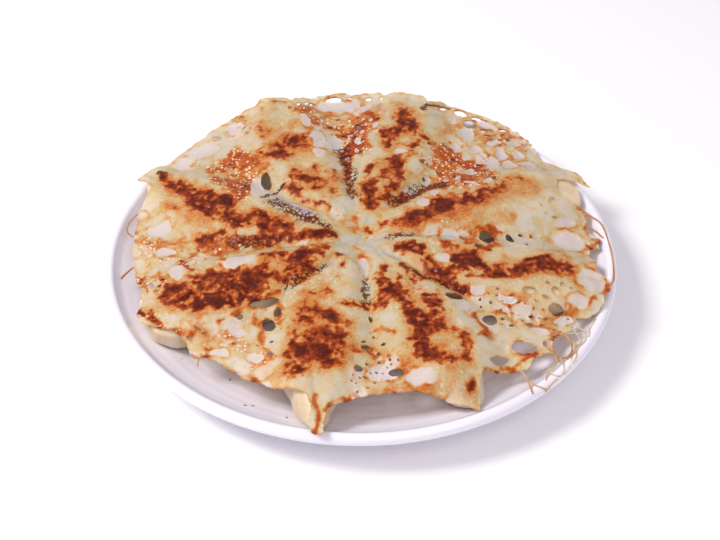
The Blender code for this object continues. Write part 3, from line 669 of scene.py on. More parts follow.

# %% [markdown]
# ## How the film browned
# A crust is never an even blot: noise frays its edge, deepens it in places and spares small
# spots, and heat leaves a faint halo round it. Fields that brown for different reasons are
# joined as 1 - (1 - a)(1 - b), which never passes 1. The pale film is a foam of wide panes
# with toasted veins, and the placed windows lie over those. Panes, windows and froth are
# whitened, partly as pale thin film and partly as painted light of the lit plate below.

# %% Browning, froth and windows


def browning(x, y):
    """The fields (toasted, burnt, thin, froth, sunk), each from 0 to 1."""
    warp_x, warp_y = warp(x, y, 2.6, 1)
    coarse, fine = grain(x, y, 5, 11, 3), grain(x, y, 2.1, 31, 2)

    # crusts: a faint halo round a crisp and frayed core, with small spots that were spared
    crust = stroke_sum(warp_x, warp_y, CRUST)
    for centre, half in BARE:
        crust = crust * (0.35 + 0.65 * smooth(oval(warp_x, warp_y, centre, half), 0.3, 1.4))
    halo = 0.2 * smooth(crust + 0.1 * coarse, 0.02, 0.3)
    crisp = smooth(crust + 0.16 * coarse + 0.2 * fine, 0.2, 0.64)
    depth = smooth(crust + 0.25 * coarse + 0.3 * fine, 0.36, 1.25)
    spared = smooth(grain(x, y, 3.2, 57, 2), -0.8, -0.4)
    crust = np.maximum(halo, crisp * (0.42 + 0.58 * depth) * (0.45 + 0.55 * spared))

    # what toasted round the crusts and between the dumplings
    amber, lace = stroke_sum(warp_x, warp_y, AMBER), stroke_sum(warp_x, warp_y, LACE)
    lace = smooth(lace + 0.22 * coarse + 0.16 * fine, 0.08, 0.8) * (0.42 + 0.42 * lace)
    heat = 1 - (1 - crust) * (1 - 0.7 * amber) * (1 - 0.76 * np.clip(lace, 0, 1))

    # veins between the panes of the pale film
    far_x, far_y = warp(x, y, 6, 41)
    wall, number = foam(far_x, far_y, 8.5, 43)
    patchy = smooth(speckle(x, y, 15, 48), -0.7, 0.6)
    between = 1 - 0.75 * crest_share(x, y)
    veins = np.exp(-(wall / 1.2) ** 2) * (0.25 + 0.75 * patchy) * (1 + 0.4 * fine) * between
    toasted = heat + (0.03 + 0.1 * coarse + 0.07 * speckle(x, y, 20, 49) + 0.26 * veins) * (1 - heat)

    burnt = stroke_sum(warp_x, warp_y, BURNT)
    toasted = toasted + 0.12 * burnt * (1 - toasted)

    # froth in its seas, and a dusting of it wherever the film stayed pale; the shader paints its
    # dots pale, partly as painted light of the lit plate seen through
    froth = smooth(stroke_sum(warp_x, warp_y, FROTH) + 0.2 * coarse, 0.3, 0.7)
    dusting = 0.4 * smooth(speckle(x, y, 16, 47), -0.3, 0.7) * (1 - smooth(toasted, 0.16, 0.32))
    froth = np.maximum(froth, dusting)

    # pale panes, partly thin film and partly painted light of the lit plate below: some random
    # panes of the foam, then the windows in their browned frames
    thin = 0.7 * smooth(wall, 0.5, 1.6) * smooth(number, 0.5, 0.8) * between
    sunk = 0.4 * smooth(wall, 0, 3) * between
    for centre, half, turn in WINDOWS:
        share = oval(warp_x, warp_y, centre, half, turn)
        thin = np.maximum(thin, 1 - smooth(share, 0.7, 1.05))
        sunk = np.maximum(sunk, (1 - np.minimum(share, 1) ** 2) * between)
        frame_line = np.exp(-((share - 1.08) * min(half) / 0.8) ** 2)
        toasted = toasted + (0.16 + 0.12 * coarse) * frame_line * (1 - toasted)
        toasted = toasted * smooth(share, 0.5, 1.05)
    thin = thin * (1 - smooth(toasted, 0.2, 0.4))
    return np.clip(toasted, 0, 1), burnt, thin, froth, sunk

# %% [markdown]
# ## Materials of the food and the plate
# Fried starch is a brittle glass-like film: cream where it only dried, amber where it
# toasted, red brown where it fried hard, and nearly black where strings of it burned. Its
# colour follows the sheet's own attributes, which are painted below, and froth, charred
# strings and fine crumbs are added in the shader. Frying oil stays on it in specks, so the
# shine comes and goes with the crumbs. Light passes through pale film, and less of it where
# the film browned, so the shader blends towards a translucent one. Dough is boiled wheat
# skin: pale, a little yellow, slippery and faintly see-through. The plate's glaze is glass
# over a cool white body, and it varies very little, in clouds.

# %% Fried starch
STARCH, starch_tree, starch_shader = new_material("fried starch film")
toasted_in = add_node(starch_tree, "ShaderNodeAttribute", {"attribute_name": "toasted"})
burnt_in = add_node(starch_tree, "ShaderNodeAttribute", {"attribute_name": "burnt"})
# The next attribute whitens panes and windows: partly pale thin film, partly painted light of the lit
# plate seen through them.
thin_and_plate_light_in = add_node(starch_tree, "ShaderNodeAttribute", {"attribute_name": "thin"})
froth_in = add_node(starch_tree, "ShaderNodeAttribute", {"attribute_name": "froth"})
starch_place = add_node(starch_tree, "ShaderNodeTexCoord").outputs["Object"]
print("four attributes paint the film")

# %% Crumbs and froth in the starch
# The real grain of fried starch is finer than this. It is drawn 0.9 mm wide so that it shows.
crumb_noise = add_node(
    starch_tree, "ShaderNodeTexNoise", {"Scale": 1 / (0.9 * MM), "Detail": 3.0},
    {"Vector": starch_place})
crumbs = add_node(
    starch_tree, "ShaderNodeMath", {"operation": "SUBTRACT", 1: 0.5},
    {0: crumb_noise.outputs["Fac"]})
crumb_depth = add_node(
    starch_tree, "ShaderNodeMath", {"operation": "MULTIPLY_ADD", 1: 0.7, 2: 0.16},
    {0: toasted_in.outputs["Fac"]})
crumbly = add_node(
    starch_tree, "ShaderNodeMath", {"operation": "MULTIPLY_ADD"},
    {0: crumbs.outputs[0], 1: crumb_depth.outputs[0], 2: toasted_in.outputs["Fac"]})
bubble_cells = add_node(
    starch_tree, "ShaderNodeTexVoronoi", {"Scale": 1 / (1.8 * MM)}, {"Vector": starch_place})
bubble_number = add_node(
    starch_tree, "ShaderNodeSeparateColor", None, {"Color": bubble_cells.outputs["Color"]})
bubble_size = add_node(
    starch_tree, "ShaderNodeMapRange", {"To Min": 0.1, "To Max": 0.46},
    {"Value": bubble_number.outputs[0]})
bubble_inside = add_node(
    starch_tree, "ShaderNodeMath", {"operation": "SUBTRACT"},
    {0: bubble_size.outputs[0], 1: bubble_cells.outputs["Distance"]})
bubble = add_node(
    starch_tree, "ShaderNodeMapRange", {"From Min": -0.04, "From Max": 0.06},
    {"Value": bubble_inside.outputs[0]})
froth_here = add_node(
    starch_tree, "ShaderNodeMath", {"operation": "MULTIPLY"},
    {0: bubble.outputs[0], 1: froth_in.outputs["Fac"]})
print("froth bubbles about 1.8 mm apart")

# %% Charred strings in the starch
wander = add_node(
    starch_tree, "ShaderNodeTexNoise", {"Scale": 1 / (2.6 * MM), "Detail": 2.0},
    {"Vector": starch_place})
wandered = add_node(
    starch_tree, "ShaderNodeVectorMath", {"operation": "MULTIPLY_ADD", 1: (3 * MM, 3 * MM, 3 * MM)},
    {0: wander.outputs["Color"], 2: starch_place})
string_cells = add_node(
    starch_tree, "ShaderNodeTexVoronoi", {"Scale": 1 / (2.2 * MM), "feature": "DISTANCE_TO_EDGE"},
    {"Vector": wandered.outputs["Vector"]})
wander_share = add_node(
    starch_tree, "ShaderNodeMath", {"operation": "SUBTRACT", 1: 0.55}, {0: wander.outputs["Fac"]})
string_away = add_node(
    starch_tree, "ShaderNodeMath", {"operation": "MULTIPLY_ADD", 1: 0.48},
    {0: wander_share.outputs[0], 2: string_cells.outputs["Distance"]})
string_widened = add_node(
    starch_tree, "ShaderNodeMath", {"operation": "MULTIPLY_ADD", 1: -0.34},
    {0: burnt_in.outputs["Fac"], 2: string_away.outputs[0]})
string = add_node(
    starch_tree, "ShaderNodeMapRange",
    {"From Min": -0.12, "From Max": -0.01, "To Min": 0.94, "To Max": 0.0},
    {"Value": string_widened.outputs[0]})
string_zone = add_node(
    starch_tree, "ShaderNodeMapRange", {"From Min": 0.1, "From Max": 0.35},
    {"Value": burnt_in.outputs["Fac"]})
strings = add_node(
    starch_tree, "ShaderNodeMath", {"operation": "MULTIPLY"},
    {0: string.outputs["Result"], 1: string_zone.outputs["Result"]})
print("charred strings about 2.2 mm apart")

# %% Colour of the starch
# Froth dots are made paler here, partly as pale shut bubbles and partly as painted light of the lit plate
# seen through the lace.
toasted_fine = add_node(
    starch_tree, "ShaderNodeMath", {"operation": "MULTIPLY_ADD", 1: -0.3},
    {0: froth_here.outputs[0], 2: crumbly.outputs[0]})
toast_ramp = add_node(starch_tree, "ShaderNodeValToRGB", None, {"Fac": toasted_fine.outputs[0]})
fill_ramp(toast_ramp, [
    (0.0, "F1EBDC"), (0.12, "EAD7A9"), (0.26, "DBB177"), (0.42, "CA7C3C"), (0.58, "AC4A1B"),
    (0.76, "7E2E12"), (1.0, "4C170C")])
# Froth dots and thin panes are mixed towards whitish F5EDEA: partly the pale film, partly painted light
# of the lit plate seen through it.
froth_pale_and_plate_light = add_node(
    starch_tree, "ShaderNodeMath", {"operation": "MULTIPLY", 1: 0.28}, {0: froth_here.outputs[0]})
paleness_and_plate_light = add_node(
    starch_tree, "ShaderNodeMath", {"operation": "MAXIMUM"},
    {0: thin_and_plate_light_in.outputs["Fac"], 1: froth_pale_and_plate_light.outputs[0]})
film_color = add_node(
    starch_tree, "ShaderNodeMix", {"data_type": "RGBA", "B": linear("F5EDEA")},
    {"Factor": paleness_and_plate_light.outputs[0], "A": toast_ramp.outputs["Color"]})
charred = add_node(
    starch_tree, "ShaderNodeMix", {"data_type": "RGBA", "B": linear("541A12")},
    {"Factor": strings.outputs[0], "A": film_color.outputs["Result"]})
starch_tree.links.new(charred.outputs["Result"], starch_shader.inputs["Base Color"])
print(len(toast_ramp.color_ramp.elements), "steps from cream to black brown")

# %% Shine and glow of the starch
web_noise = add_node(
    starch_tree, "ShaderNodeTexNoise", {"Scale": 1 / (0.5 * MM), "Detail": 2.0},
    {"Vector": starch_place})
film_bump = add_node(
    starch_tree, "ShaderNodeBump", {"Strength": 0.6, "Distance": 0.2 * MM},
    {"Height": web_noise.outputs["Fac"]})
starch_tree.links.new(film_bump.outputs["Normal"], starch_shader.inputs["Normal"])
starch_shader.inputs["Roughness"].default_value = 0.3
starch_shader.inputs["IOR"].default_value = 1.46
oil_specks = add_node(
    starch_tree, "ShaderNodeMapRange",
    {"From Min": 0.56, "From Max": 0.7, "To Min": 0.12, "To Max": 0.9},
    {"Value": crumb_noise.outputs["Fac"]})
starch_tree.links.new(oil_specks.outputs["Result"], starch_shader.inputs["Specular IOR Level"])
glow_color = add_node(
    starch_tree, "ShaderNodeMix", {"data_type": "RGBA", "Factor": 0.5, "B": linear("FFF8F0")},
    {"A": charred.outputs["Result"]})
glow = add_node(
    starch_tree, "ShaderNodeBsdfTranslucent", None, {"Color": glow_color.outputs["Result"]})
darkness = add_node(
    starch_tree, "ShaderNodeMath", {"operation": "MAXIMUM"},
    {0: toasted_in.outputs["Fac"], 1: strings.outputs[0]})
clearness = add_node(
    starch_tree, "ShaderNodeMapRange",
    {"From Min": 0.05, "From Max": 0.45, "To Min": 0.6, "To Max": 0.12},
    {"Value": darkness.outputs[0]})
film = add_node(
    starch_tree, "ShaderNodeMixShader", None,
    {0: clearness.outputs["Result"], 1: starch_shader.outputs["BSDF"], 2: glow.outputs["BSDF"]})
starch_out = starch_tree.nodes["Material Output"]
starch_tree.links.new(film.outputs["Shader"], starch_out.inputs["Surface"])
print("starch shader has", len(starch_tree.nodes), "nodes")

# %% Boiled wheat dough
DOUGH, dough_tree, dough_shader = new_material("steamed wheat dough")
dough_place = add_node(dough_tree, "ShaderNodeTexCoord").outputs["Object"]
dough_cloud = add_node(
    dough_tree, "ShaderNodeTexNoise", {"Scale": 1 / (9 * MM), "Detail": 3.0},
    {"Vector": dough_place})
dough_ramp = add_node(dough_tree, "ShaderNodeValToRGB", None, {"Fac": dough_cloud.outputs["Fac"]})
fill_ramp(dough_ramp, [(0.3, "CFB695"), (0.5, "D9C6A9"), (0.7, "E1D3BD")])
dough_skin = add_node(
    dough_tree, "ShaderNodeTexNoise", {"Scale": 1 / (1.3 * MM), "Detail": 3.0},
    {"Vector": dough_place})
dough_bump = add_node(
    dough_tree, "ShaderNodeBump", {"Strength": 0.35, "Distance": 0.2 * MM},
    {"Height": dough_skin.outputs["Fac"]})
dough_tree.links.new(dough_ramp.outputs["Color"], dough_shader.inputs["Base Color"])
dough_tree.links.new(dough_bump.outputs["Normal"], dough_shader.inputs["Normal"])
dough_shader.inputs["Roughness"].default_value = 0.38
dough_shader.inputs["IOR"].default_value = 1.45
dough_shader.inputs["Subsurface Weight"].default_value = 0.7
dough_shader.inputs["Subsurface Radius"].default_value = (1.0, 0.7, 0.4)
dough_shader.inputs["Subsurface Scale"].default_value = 3 * MM
print("dough shader has", len(dough_tree.nodes), "nodes")

# %% Glazed porcelain
GLAZE, glaze_tree, glaze_shader = new_material("glazed porcelain")
glaze_place = add_node(glaze_tree, "ShaderNodeTexCoord").outputs["Object"]
glaze_cloud = add_node(
    glaze_tree, "ShaderNodeTexNoise", {"Scale": 1 / (40 * MM), "Detail": 1.0},
    {"Vector": glaze_place})
glaze_ramp = add_node(glaze_tree, "ShaderNodeValToRGB", None, {"Fac": glaze_cloud.outputs["Fac"]})
fill_ramp(glaze_ramp, [(0.3, "E6E3F0"), (0.7, "EBE8F4")])
glaze_tree.links.new(glaze_ramp.outputs["Color"], glaze_shader.inputs["Base Color"])
glaze_shader.inputs["Roughness"].default_value = 0.16
glaze_shader.inputs["IOR"].default_value = 1.5
print("glaze shader has", len(glaze_tree.nodes), "nodes")

# %% [markdown]
# ## The plate
# A coupe plate is thrown or pressed, so its section is turned round one axis: a flat floor,
# a wall that curves up, a rolled lip, and a foot ring below. The glaze pooled where the wall
# meets the lip, so that corner is soft. The section is drawn once as a chain of vertices and
# spun in fine steps. Faint throwing rings are left in the wall.

# %% Section of the plate
_, plate_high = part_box("plate")
PLATE_RADIUS = plate_high.x / MM
LIP_HEIGHT = plate_high.z / MM
LIP_RADIUS = 2.75
FLOOR_HEIGHT, FLOOR_RADIUS = 8.5, 80
FOOT_RADIUS, FOOT_WIDTH, FOOT_DEPTH = 76, 5, 3
UNDER_HEIGHT, UNDER_RISE = 3.6, 13.4
WALL_CURVE, WALL_RISE = 1.9, 10.6
WALL_END = PLATE_RADIUS - 2 * LIP_RADIUS
RING_STEP, RING_DEPTH = 5.2, 0.05
CORNER, CORNER_CURVE = 5, 2.6       # width and curve of the soft corner below the lip
LIP_START = math.radians(150)       # where on the lip's round the corner ends
LIP_EDGE = PLATE_RADIUS - LIP_RADIUS + LIP_RADIUS * math.cos(LIP_START)
LIP_FOOT = LIP_HEIGHT - LIP_RADIUS + LIP_RADIUS * math.sin(LIP_START)


def plate_top(radius):
    """Height in mm of the plate's upper side, up to where the lip's round begins."""
    share = np.clip((radius - FLOOR_RADIUS) / (WALL_END - FLOOR_RADIUS), 0, 1)
    rings = RING_DEPTH * np.sin(math.tau * radius / RING_STEP) * smooth(radius, 30, 84)
    wall = FLOOR_HEIGHT + WALL_RISE * share ** WALL_CURVE + rings * (1 - smooth(share, 0.85, 1))
    corner = np.clip((radius - LIP_EDGE) / CORNER + 1, 0, 1)
    return wall + (LIP_FOOT - FLOOR_HEIGHT - WALL_RISE) * corner ** CORNER_CURVE


def plate_section():
    """Radius and height in mm, from the middle of the upper side round to the underside."""
    top = [(radius, float(plate_top(radius))) for radius in np.linspace(0, LIP_EDGE, 130)]
    centre = LIP_HEIGHT - LIP_RADIUS
    turns = np.linspace(LIP_START - 0.2, math.radians(-60), 16)
    lip = [(PLATE_RADIUS - LIP_RADIUS + LIP_RADIUS * math.cos(turn),
            centre + LIP_RADIUS * math.sin(turn)) for turn in turns]
    foot_out = FOOT_RADIUS + FOOT_WIDTH / 2
    foot_in = FOOT_RADIUS - FOOT_WIDTH / 2
    under = []
    for share in np.linspace(0.98, 0.02, 24):
        radius = foot_out + share * (PLATE_RADIUS - LIP_RADIUS - foot_out)
        under.append((radius, UNDER_HEIGHT + UNDER_RISE * share ** WALL_CURVE))
    ring = [(foot_out, UNDER_HEIGHT), (foot_out - 0.3, 0.8), (foot_out - 1, 0.1),
            (foot_out - 1.6, 0), (foot_in + 1.6, 0), (foot_in + 1, 0.1), (foot_in + 0.3, 0.8),
            (foot_in, FOOT_DEPTH)]
    inside = [(radius, FOOT_DEPTH) for radius in (foot_in - 1, 50, 25, 0)]
    return top + lip + under + ring + inside

# %% Turning the plate


def make_plate():
    """Spins the section into the plate."""
    bm = bmesh.new()
    section = plate_section()
    verts = [bm.verts.new((radius * MM, 0, height * MM)) for radius, height in section]
    edges = [bm.edges.new(pair) for pair in zip(verts, verts[1:])]
    bmesh.ops.spin(bm, geom=verts + edges, cent=(0, 0, 0), axis=(0, 0, 1),
                   angle=math.tau, steps=192, use_merge=True)
    bmesh.ops.remove_doubles(bm, verts=bm.verts, dist=1e-6)
    bmesh.ops.recalc_face_normals(bm, faces=bm.faces)
    print("plate", len(bm.faces), "faces, radius", PLATE_RADIUS, "mm")
    return finish_piece("plate_turned", bm, GLAZE, ["plate"], sharp=50)


make_plate()

# %% [markdown]
# ## The grid of the sheet
# The sheet is a height field, so it starts as one fine flat grid. Faces in holes and outside
# the rim are dropped, and the corners left along each edge slide onto the hole's true curve,
# which keeps small bubbles round without a finer grid. What nothing joins to the middle
# would be a loose flake, and is dropped too.

# %% Grid
CELL = 0.44         # side of one face
REACH = 121         # half the grid's side, past the outline everywhere
STEPS = round(2 * REACH / CELL)


def neighbours(mask):
    """The mask grown by one cell in four directions."""
    grown = mask.copy()
    grown[1:] |= mask[:-1]
    grown[:-1] |= mask[1:]
    grown[:, 1:] |= mask[:, :-1]
    grown[:, :-1] |= mask[:, 1:]
    return grown


def keep_cells(depth):
    """The grid's faces that are film, in one piece."""
    middle = (depth[1:, 1:] + depth[1:, :-1] + depth[:-1, 1:] + depth[:-1, :-1]) / 4
    kept = middle < 0
    for _ in range(3):
        low, high = kept[:-1, :-1] & kept[1:, 1:], kept[:-1, 1:] & kept[1:, :-1]
        pinched = low & ~(kept[:-1, 1:] | kept[1:, :-1])
        kept[:-1, 1:] |= pinched
        pinched = high & ~(kept[:-1, :-1] | kept[1:, 1:])
        kept[:-1, :-1] |= pinched
    joined = np.zeros_like(kept)
    joined[STEPS // 2, STEPS // 2] = True
    count = 0
    while joined.sum() > count:
        count = joined.sum()
        for _ in range(12):
            joined = neighbours(joined) & kept
    return joined


def slide_to_edge(x, y, edge):
    """Moves the edge's corners onto the line where void is zero."""
    px, py = x[edge], y[edge]
    start_x, start_y = px.copy(), py.copy()
    nudge = 0.05
    for _ in range(2):
        value = void(px, py)
        slope_x = (void(px + nudge, py) - void(px - nudge, py)) / (2 * nudge)
        slope_y = (void(px, py + nudge) - void(px, py - nudge)) / (2 * nudge)
        steep = slope_x ** 2 + slope_y ** 2 + 0.05
        px, py = px - value * slope_x / steep, py - value * slope_y / steep
    reach = 0.55 * CELL
    x[edge] = start_x + np.clip(px - start_x, -reach, reach)
    y[edge] = start_y + np.clip(py - start_y, -reach, reach)

# %% The film's faces and edges
ticks = np.linspace(-REACH, REACH, STEPS + 1)
grid_x, grid_y = np.meshgrid(ticks, ticks)
grid_void = void(grid_x, grid_y)
cells = keep_cells(grid_void)
around = np.zeros(grid_x.shape, int)
for row in (slice(None, -1), slice(1, None)):
    for column in (slice(None, -1), slice(1, None)):
        around[row, column] += cells
edge_corners = (around > 0) & (around < 4)
slide_to_edge(grid_x, grid_y, edge_corners)
print(int(cells.sum()), "cells of film,", int(edge_corners.sum()), "corners on edges")

# %% [markdown]
# ## Relief and paint
# The film has several sizes of relief. It pillows where it dried over bubbles of steam, its
# crusts are blistered, its windows sank while they were soft, and every hole has a raised
# rim, where surface tension drew the batter into a thicker bead. The same beads browned
# first, so rims are also toasted. Wherever the film would dip into the plate it is lifted to
# lie on the porcelain.

# %% Relief of the film
BEAD_WIDTH, BEAD_HEIGHT = 0.7, 0.3
PALE_FILM, CRUST_FILM = 0.55, 1.05      # thickness where it stayed pale and where it fried
WINDOW_DIP = 0.7
RELIEF_ROOM = 0.35                      # the film is laid this much lower to fit its relief
PLATE_GAP = 0.1


def lip_top(radius):
    """Height in mm of the plate's lip, and far below everything inside it."""
    over = radius - PLATE_RADIUS + LIP_RADIUS
    arch = np.sqrt(np.maximum(LIP_RADIUS ** 2 - over ** 2, 0))
    return np.where(over > -LIP_RADIUS, LIP_HEIGHT - LIP_RADIUS + arch, -99)


edge_depth = np.maximum(-grid_void, 0)
toasted, burnt, thin, froth, sunk = browning(grid_x, grid_y)
edge_share = np.exp(-(edge_depth / BEAD_WIDTH) ** 2)
rim_toast = edge_share * (0.16 + 0.2 * speckle(grid_x, grid_y, 9, 91))
toasted = np.clip(toasted + rim_toast * (1 - toasted), 0, 1)

pillow = 0.45 * speckle(grid_x, grid_y, 9, 101) + 0.25 * speckle(grid_x, grid_y, 4.2, 102)
blister = toasted * (
    0.35 * speckle(grid_x, grid_y, 3, 103) + 0.3 * speckle(grid_x, grid_y, 1.6, 104))
grit = 0.09 * speckle(grid_x, grid_y, 1.5, 105)
relief = pillow + blister + grit + BEAD_HEIGHT * edge_share - WINDOW_DIP * sunk
grid_z = sheet_height(grid_x, grid_y) + relief - RELIEF_ROOM
thickness = PALE_FILM + (CRUST_FILM - PALE_FILM) * smooth(toasted, 0.3, 0.7)
grid_r = np.hypot(grid_x, grid_y)
porcelain = np.maximum(lip_top(grid_r), plate_top(grid_r))
grid_z = np.maximum(grid_z, porcelain + thickness + PLATE_GAP)
print("sheet height", round(grid_z[cells.nonzero()].min(), 1), "to",
      round(grid_z[cells.nonzero()].max(), 1), "mm")

# %% [markdown]
# ## Panels
# One mesh of the whole sheet would be too heavy to pass on, so it is cut into eight panels,
# from the middle of one dumpling to the middle of the next. The cuts lie under the browned
# crusts, where no eye finds them, and neighbours share the very same corner points. Each
# panel becomes a closed thin shell by extruding it and pushing the lower side down.

# %% Bays between the dumplings


def bay(x, y):
    """Which bay between two dumplings' middle lines a point is in, 0 to 7."""
    radius, angle = np.hypot(x, y), np.arctan2(y, x)
    turns = []
    for axis in AXES.values():
        line = np.array([axis.point(share, 0) for share in np.linspace(0, 1, 9)])
        line_radius = np.hypot(line[:, 0], line[:, 1])
        line_angle = np.unwrap(np.arctan2(line[:, 1], line[:, 0]))
        middle = np.interp(radius, line_radius, line_angle)
        turns.append(np.mod(angle - middle, math.tau))
    return np.argmin(turns, axis=0)

# %% Cutting the panels


def sheet_mesh():
    """The whole sheet's upper side as a mesh, with its paint and thickness."""
    bm = bmesh.new()
    bmesh.ops.create_grid(bm, x_segments=STEPS, y_segments=STEPS, size=REACH * MM)
    mesh = bpy.data.meshes.new("sheet")
    bm.to_mesh(mesh)
    bm.free()
    places = np.stack([grid_x, grid_y, grid_z], axis=-1).reshape(-1, 3) * MM
    mesh.vertices.foreach_set("co", places.astype(np.float32).ravel())
    # The panes' paleness written here is partly painted light of the lit plate below.
    for name, values in (("toasted", toasted), ("burnt", burnt), ("thin", thin),
                         ("froth", froth), ("thickness", thickness)):
        layer = mesh.attributes.new(name, "FLOAT", "POINT")
        layer.data.foreach_set("value", values.astype(np.float32).ravel())
    return mesh


def make_panel(number, mesh, chosen):
    """One panel as a closed shell: the chosen faces, a copy pushed down, and a wall between."""
    bm = bmesh.new()
    bm.from_mesh(mesh)
    dropped = [face for face, keep in zip(bm.faces, chosen.ravel()) if not keep]
    bmesh.ops.delete(bm, geom=dropped, context="FACES")
    lower = bm.verts[:]
    depth = bm.verts.layers.float["thickness"]
    bmesh.ops.extrude_face_region(bm, geom=bm.faces[:], use_keep_orig=True)
    for vert in lower:
        vert.co.z -= vert[depth] * MM
    bm.verts.layers.float.remove(depth)
    print("panel", number, 2 * len(bm.faces), "triangles")
    return finish_piece(f"skirt_{number}", bm, STARCH, ["starch_skirt"], sharp=60)


whole = sheet_mesh()
cell_x = (grid_x[1:, 1:] + grid_x[:-1, :-1]) / 2
cell_y = (grid_y[1:, 1:] + grid_y[:-1, :-1]) / 2
cell_bay = bay(cell_x, cell_y)
for number in range(8):
    make_panel(number + 1, whole, cells & (cell_bay == number))
bpy.data.meshes.remove(whole)

# %% [markdown]
# ## Strings and crumbs
# Where the film tore, thin strings of batter hang over the plate's lip. At the front right
# whole bubbles burst and left a loose net of threads, browned where it joins the film and
# pale at its far ends. A few burnt crumbs fell on the porcelain. A string is a round bevel
# along a smooth curve, thicker here and thinner there as the batter ran. A crumb is a small
# ball pulled long and dented by speckle.

# %% Where the strings run
# Radius, how far it browned, and the points it passes over.
STRINGS = [
    # over the lip at the right
    (0.42, 0.38, (103.5, 28), (107, 26), (110.5, 24), (114, 21.5), (116, 17.5), (117, 12),
     (117.6, 5), (118, -3), (117.8, -11), (117, -19), (115.5, -27), (112, -31)),
    (0.36, 0.4, (107, 25.5), (109.5, 19), (109.5, 16), (108, 14.5)),
    (0.34, 0.38, (109.5, 16), (112.5, 13.5), (114.5, 9), (117.3, 6)),
    # at the left rim
    (0.36, 0.4, (-105.5, 25), (-110, 20.5), (-112, 15), (-111, 9), (-105.5, 5)),
    (0.4, 0.4, (-103.5, -15), (-107, -17.5), (-109.5, -22)),
    # at the front left
    (0.32, 0.4, (-72, -72.5), (-72.5, -77), (-69, -76.8), (-65, -75.5)),
    (0.28, 0.4, (-69, -76.8), (-69.5, -79.5)),
    # the net at the front right
    (0.5, 0.33, (81, -68), (82, -63), (85, -60), (89, -59), (92, -62), (92.5, -67), (91.5, -71),
     (89, -73.5), (86, -74), (83.5, -72), (81, -68)),
    (0.4, 0.26, (83, -70), (85, -74), (84.5, -77.5), (82, -80), (79.5, -82.5), (79, -86),
     (78.5, -91)),
    (0.38, 0.28, (68, -80.5), (70.5, -84.5), (71.6, -87), (72.6, -94)),
    (0.34, 0.22, (71.6, -87), (74, -90), (77, -90.4), (80, -91), (81, -87.5), (84, -85)),
    (0.28, 0.12, (95, -47), (96, -54), (98.4, -58), (100.4, -53), (105, -48)),
    (0.28, 0.14, (92, -62), (94, -66.4), (96.5, -65), (95.8, -60), (94, -55), (92, -54)),
    (0.26, 0.14, (90, -59), (94.5, -58), (98.4, -58)),
    (0.32, 0.2, (86, -73), (88, -78), (87, -82), (84.2, -84.4), (82, -83), (79, -82)),
    (0.26, 0.14, (92, -71), (94, -69), (95, -66)),
    (0.24, 0.12, (100.4, -53), (101.6, -56), (100, -60)),
    (0.28, 0.18, (87, -82), (89, -80.4), (91.4, -76), (91.8, -70)),
    (0.24, 0.12, (95, -66), (98, -64), (100, -60), (98.4, -58)),
    (0.24, 0.12, (91.4, -76), (94, -72), (94, -69)),
]
print(len(STRINGS), "strings")

# %% Making the strings


def string_height(x, y):
    """Height of a string's middle: in the film's edge, and farther out on the plate's lip."""
    radius = max(math.hypot(x, y), PLATE_RADIUS - LIP_RADIUS)
    share = float(smooth(outline_distance(x, y), 0, 7))
    film = float(sheet_height(x, y)) - 0.7
    return film * (1 - share) + (float(lip_top(radius)) + 0.35) * share


def string_curve(radius, points, phase):
    """A round bevel along a smooth line, its thickness swelling and thinning."""
    curve = bpy.data.curves.new("string", "CURVE")
    curve.dimensions = "3D"
    curve.bevel_depth = 1 * MM
    curve.bevel_resolution = 3
    curve.use_fill_caps = True
    line = curve.splines.new("NURBS")
    line.points.add(len(points) - 1)
    for at, (point, (x, y)) in enumerate(zip(line.points, points)):
        point.co = (x * MM, y * MM, string_height(x, y) * MM, 1)
        point.radius = radius * (1 + 0.35 * math.sin(2.1 * at + phase))
    line.use_endpoint_u = True
    line.order_u = min(4, len(points))
    line.resolution_u = 6
    return bpy.data.objects.new("string", curve)


def make_strings():
    """All strings in one mesh, each with its own browning."""
    bm = bmesh.new()
    browned = bm.verts.layers.float.new("toasted")
    for phase, (radius, toast, *points) in enumerate(STRINGS):
        start = len(bm.verts)
        holder = string_curve(radius, points, phase)
        bm.from_mesh(holder.to_mesh())
        bpy.data.objects.remove(holder)
        for vert in list(bm.verts)[start:]:
            vert[browned] = toast + 0.08 * math.sin(vert.co.y / (4 * MM))
    bmesh.ops.remove_doubles(bm, verts=bm.verts, dist=1e-6)
    print("strings", len(bm.faces), "faces")
    return finish_piece("skirt_strings", bm, STARCH, ["starch_skirt"])


make_strings()

# %% Crumbs
# Place, length, thickness and turn in degrees.
CRUMBS = [
    ((-56.7, -74.9), 2.2, 0.35, 80), ((-48.7, -94.1), 1.6, 0.35, 0), ((-45.4, -93.6), 1.6, 0.3, -5),
    ((-30.7, -101.1), 0.8, 0.5, 20), ((-78.6, -64.4), 0.6, 0.4, 0),
]


def make_crumbs():
    """All crumbs in one mesh, lying on the plate."""
    bm = bmesh.new()
    for (x, y), length, thick, turn in CRUMBS:
        lie = Matrix.Translation(Vector((x, y, float(plate_top(math.hypot(x, y))) + 0.3)) * MM)
        size = Matrix.Diagonal((length / 2 * MM, thick / 2 * MM, thick / 2 * MM, 1))
        spin = Matrix.Rotation(math.radians(turn), 4, "Z")
        bmesh.ops.create_icosphere(bm, subdivisions=2, radius=1, matrix=lie @ spin @ size)
    browned = bm.verts.layers.float.new("toasted")
    for vert in bm.verts:
        dent = float(speckle(vert.co.x / MM, vert.co.y / MM, 0.5, 201))
        vert.co.z += 0.1 * dent * MM
        vert[browned] = 0.85 + 0.15 * dent
    return finish_piece("crumbs", bm, STARCH)


make_crumbs()
print(len(CRUMBS), "crumbs")

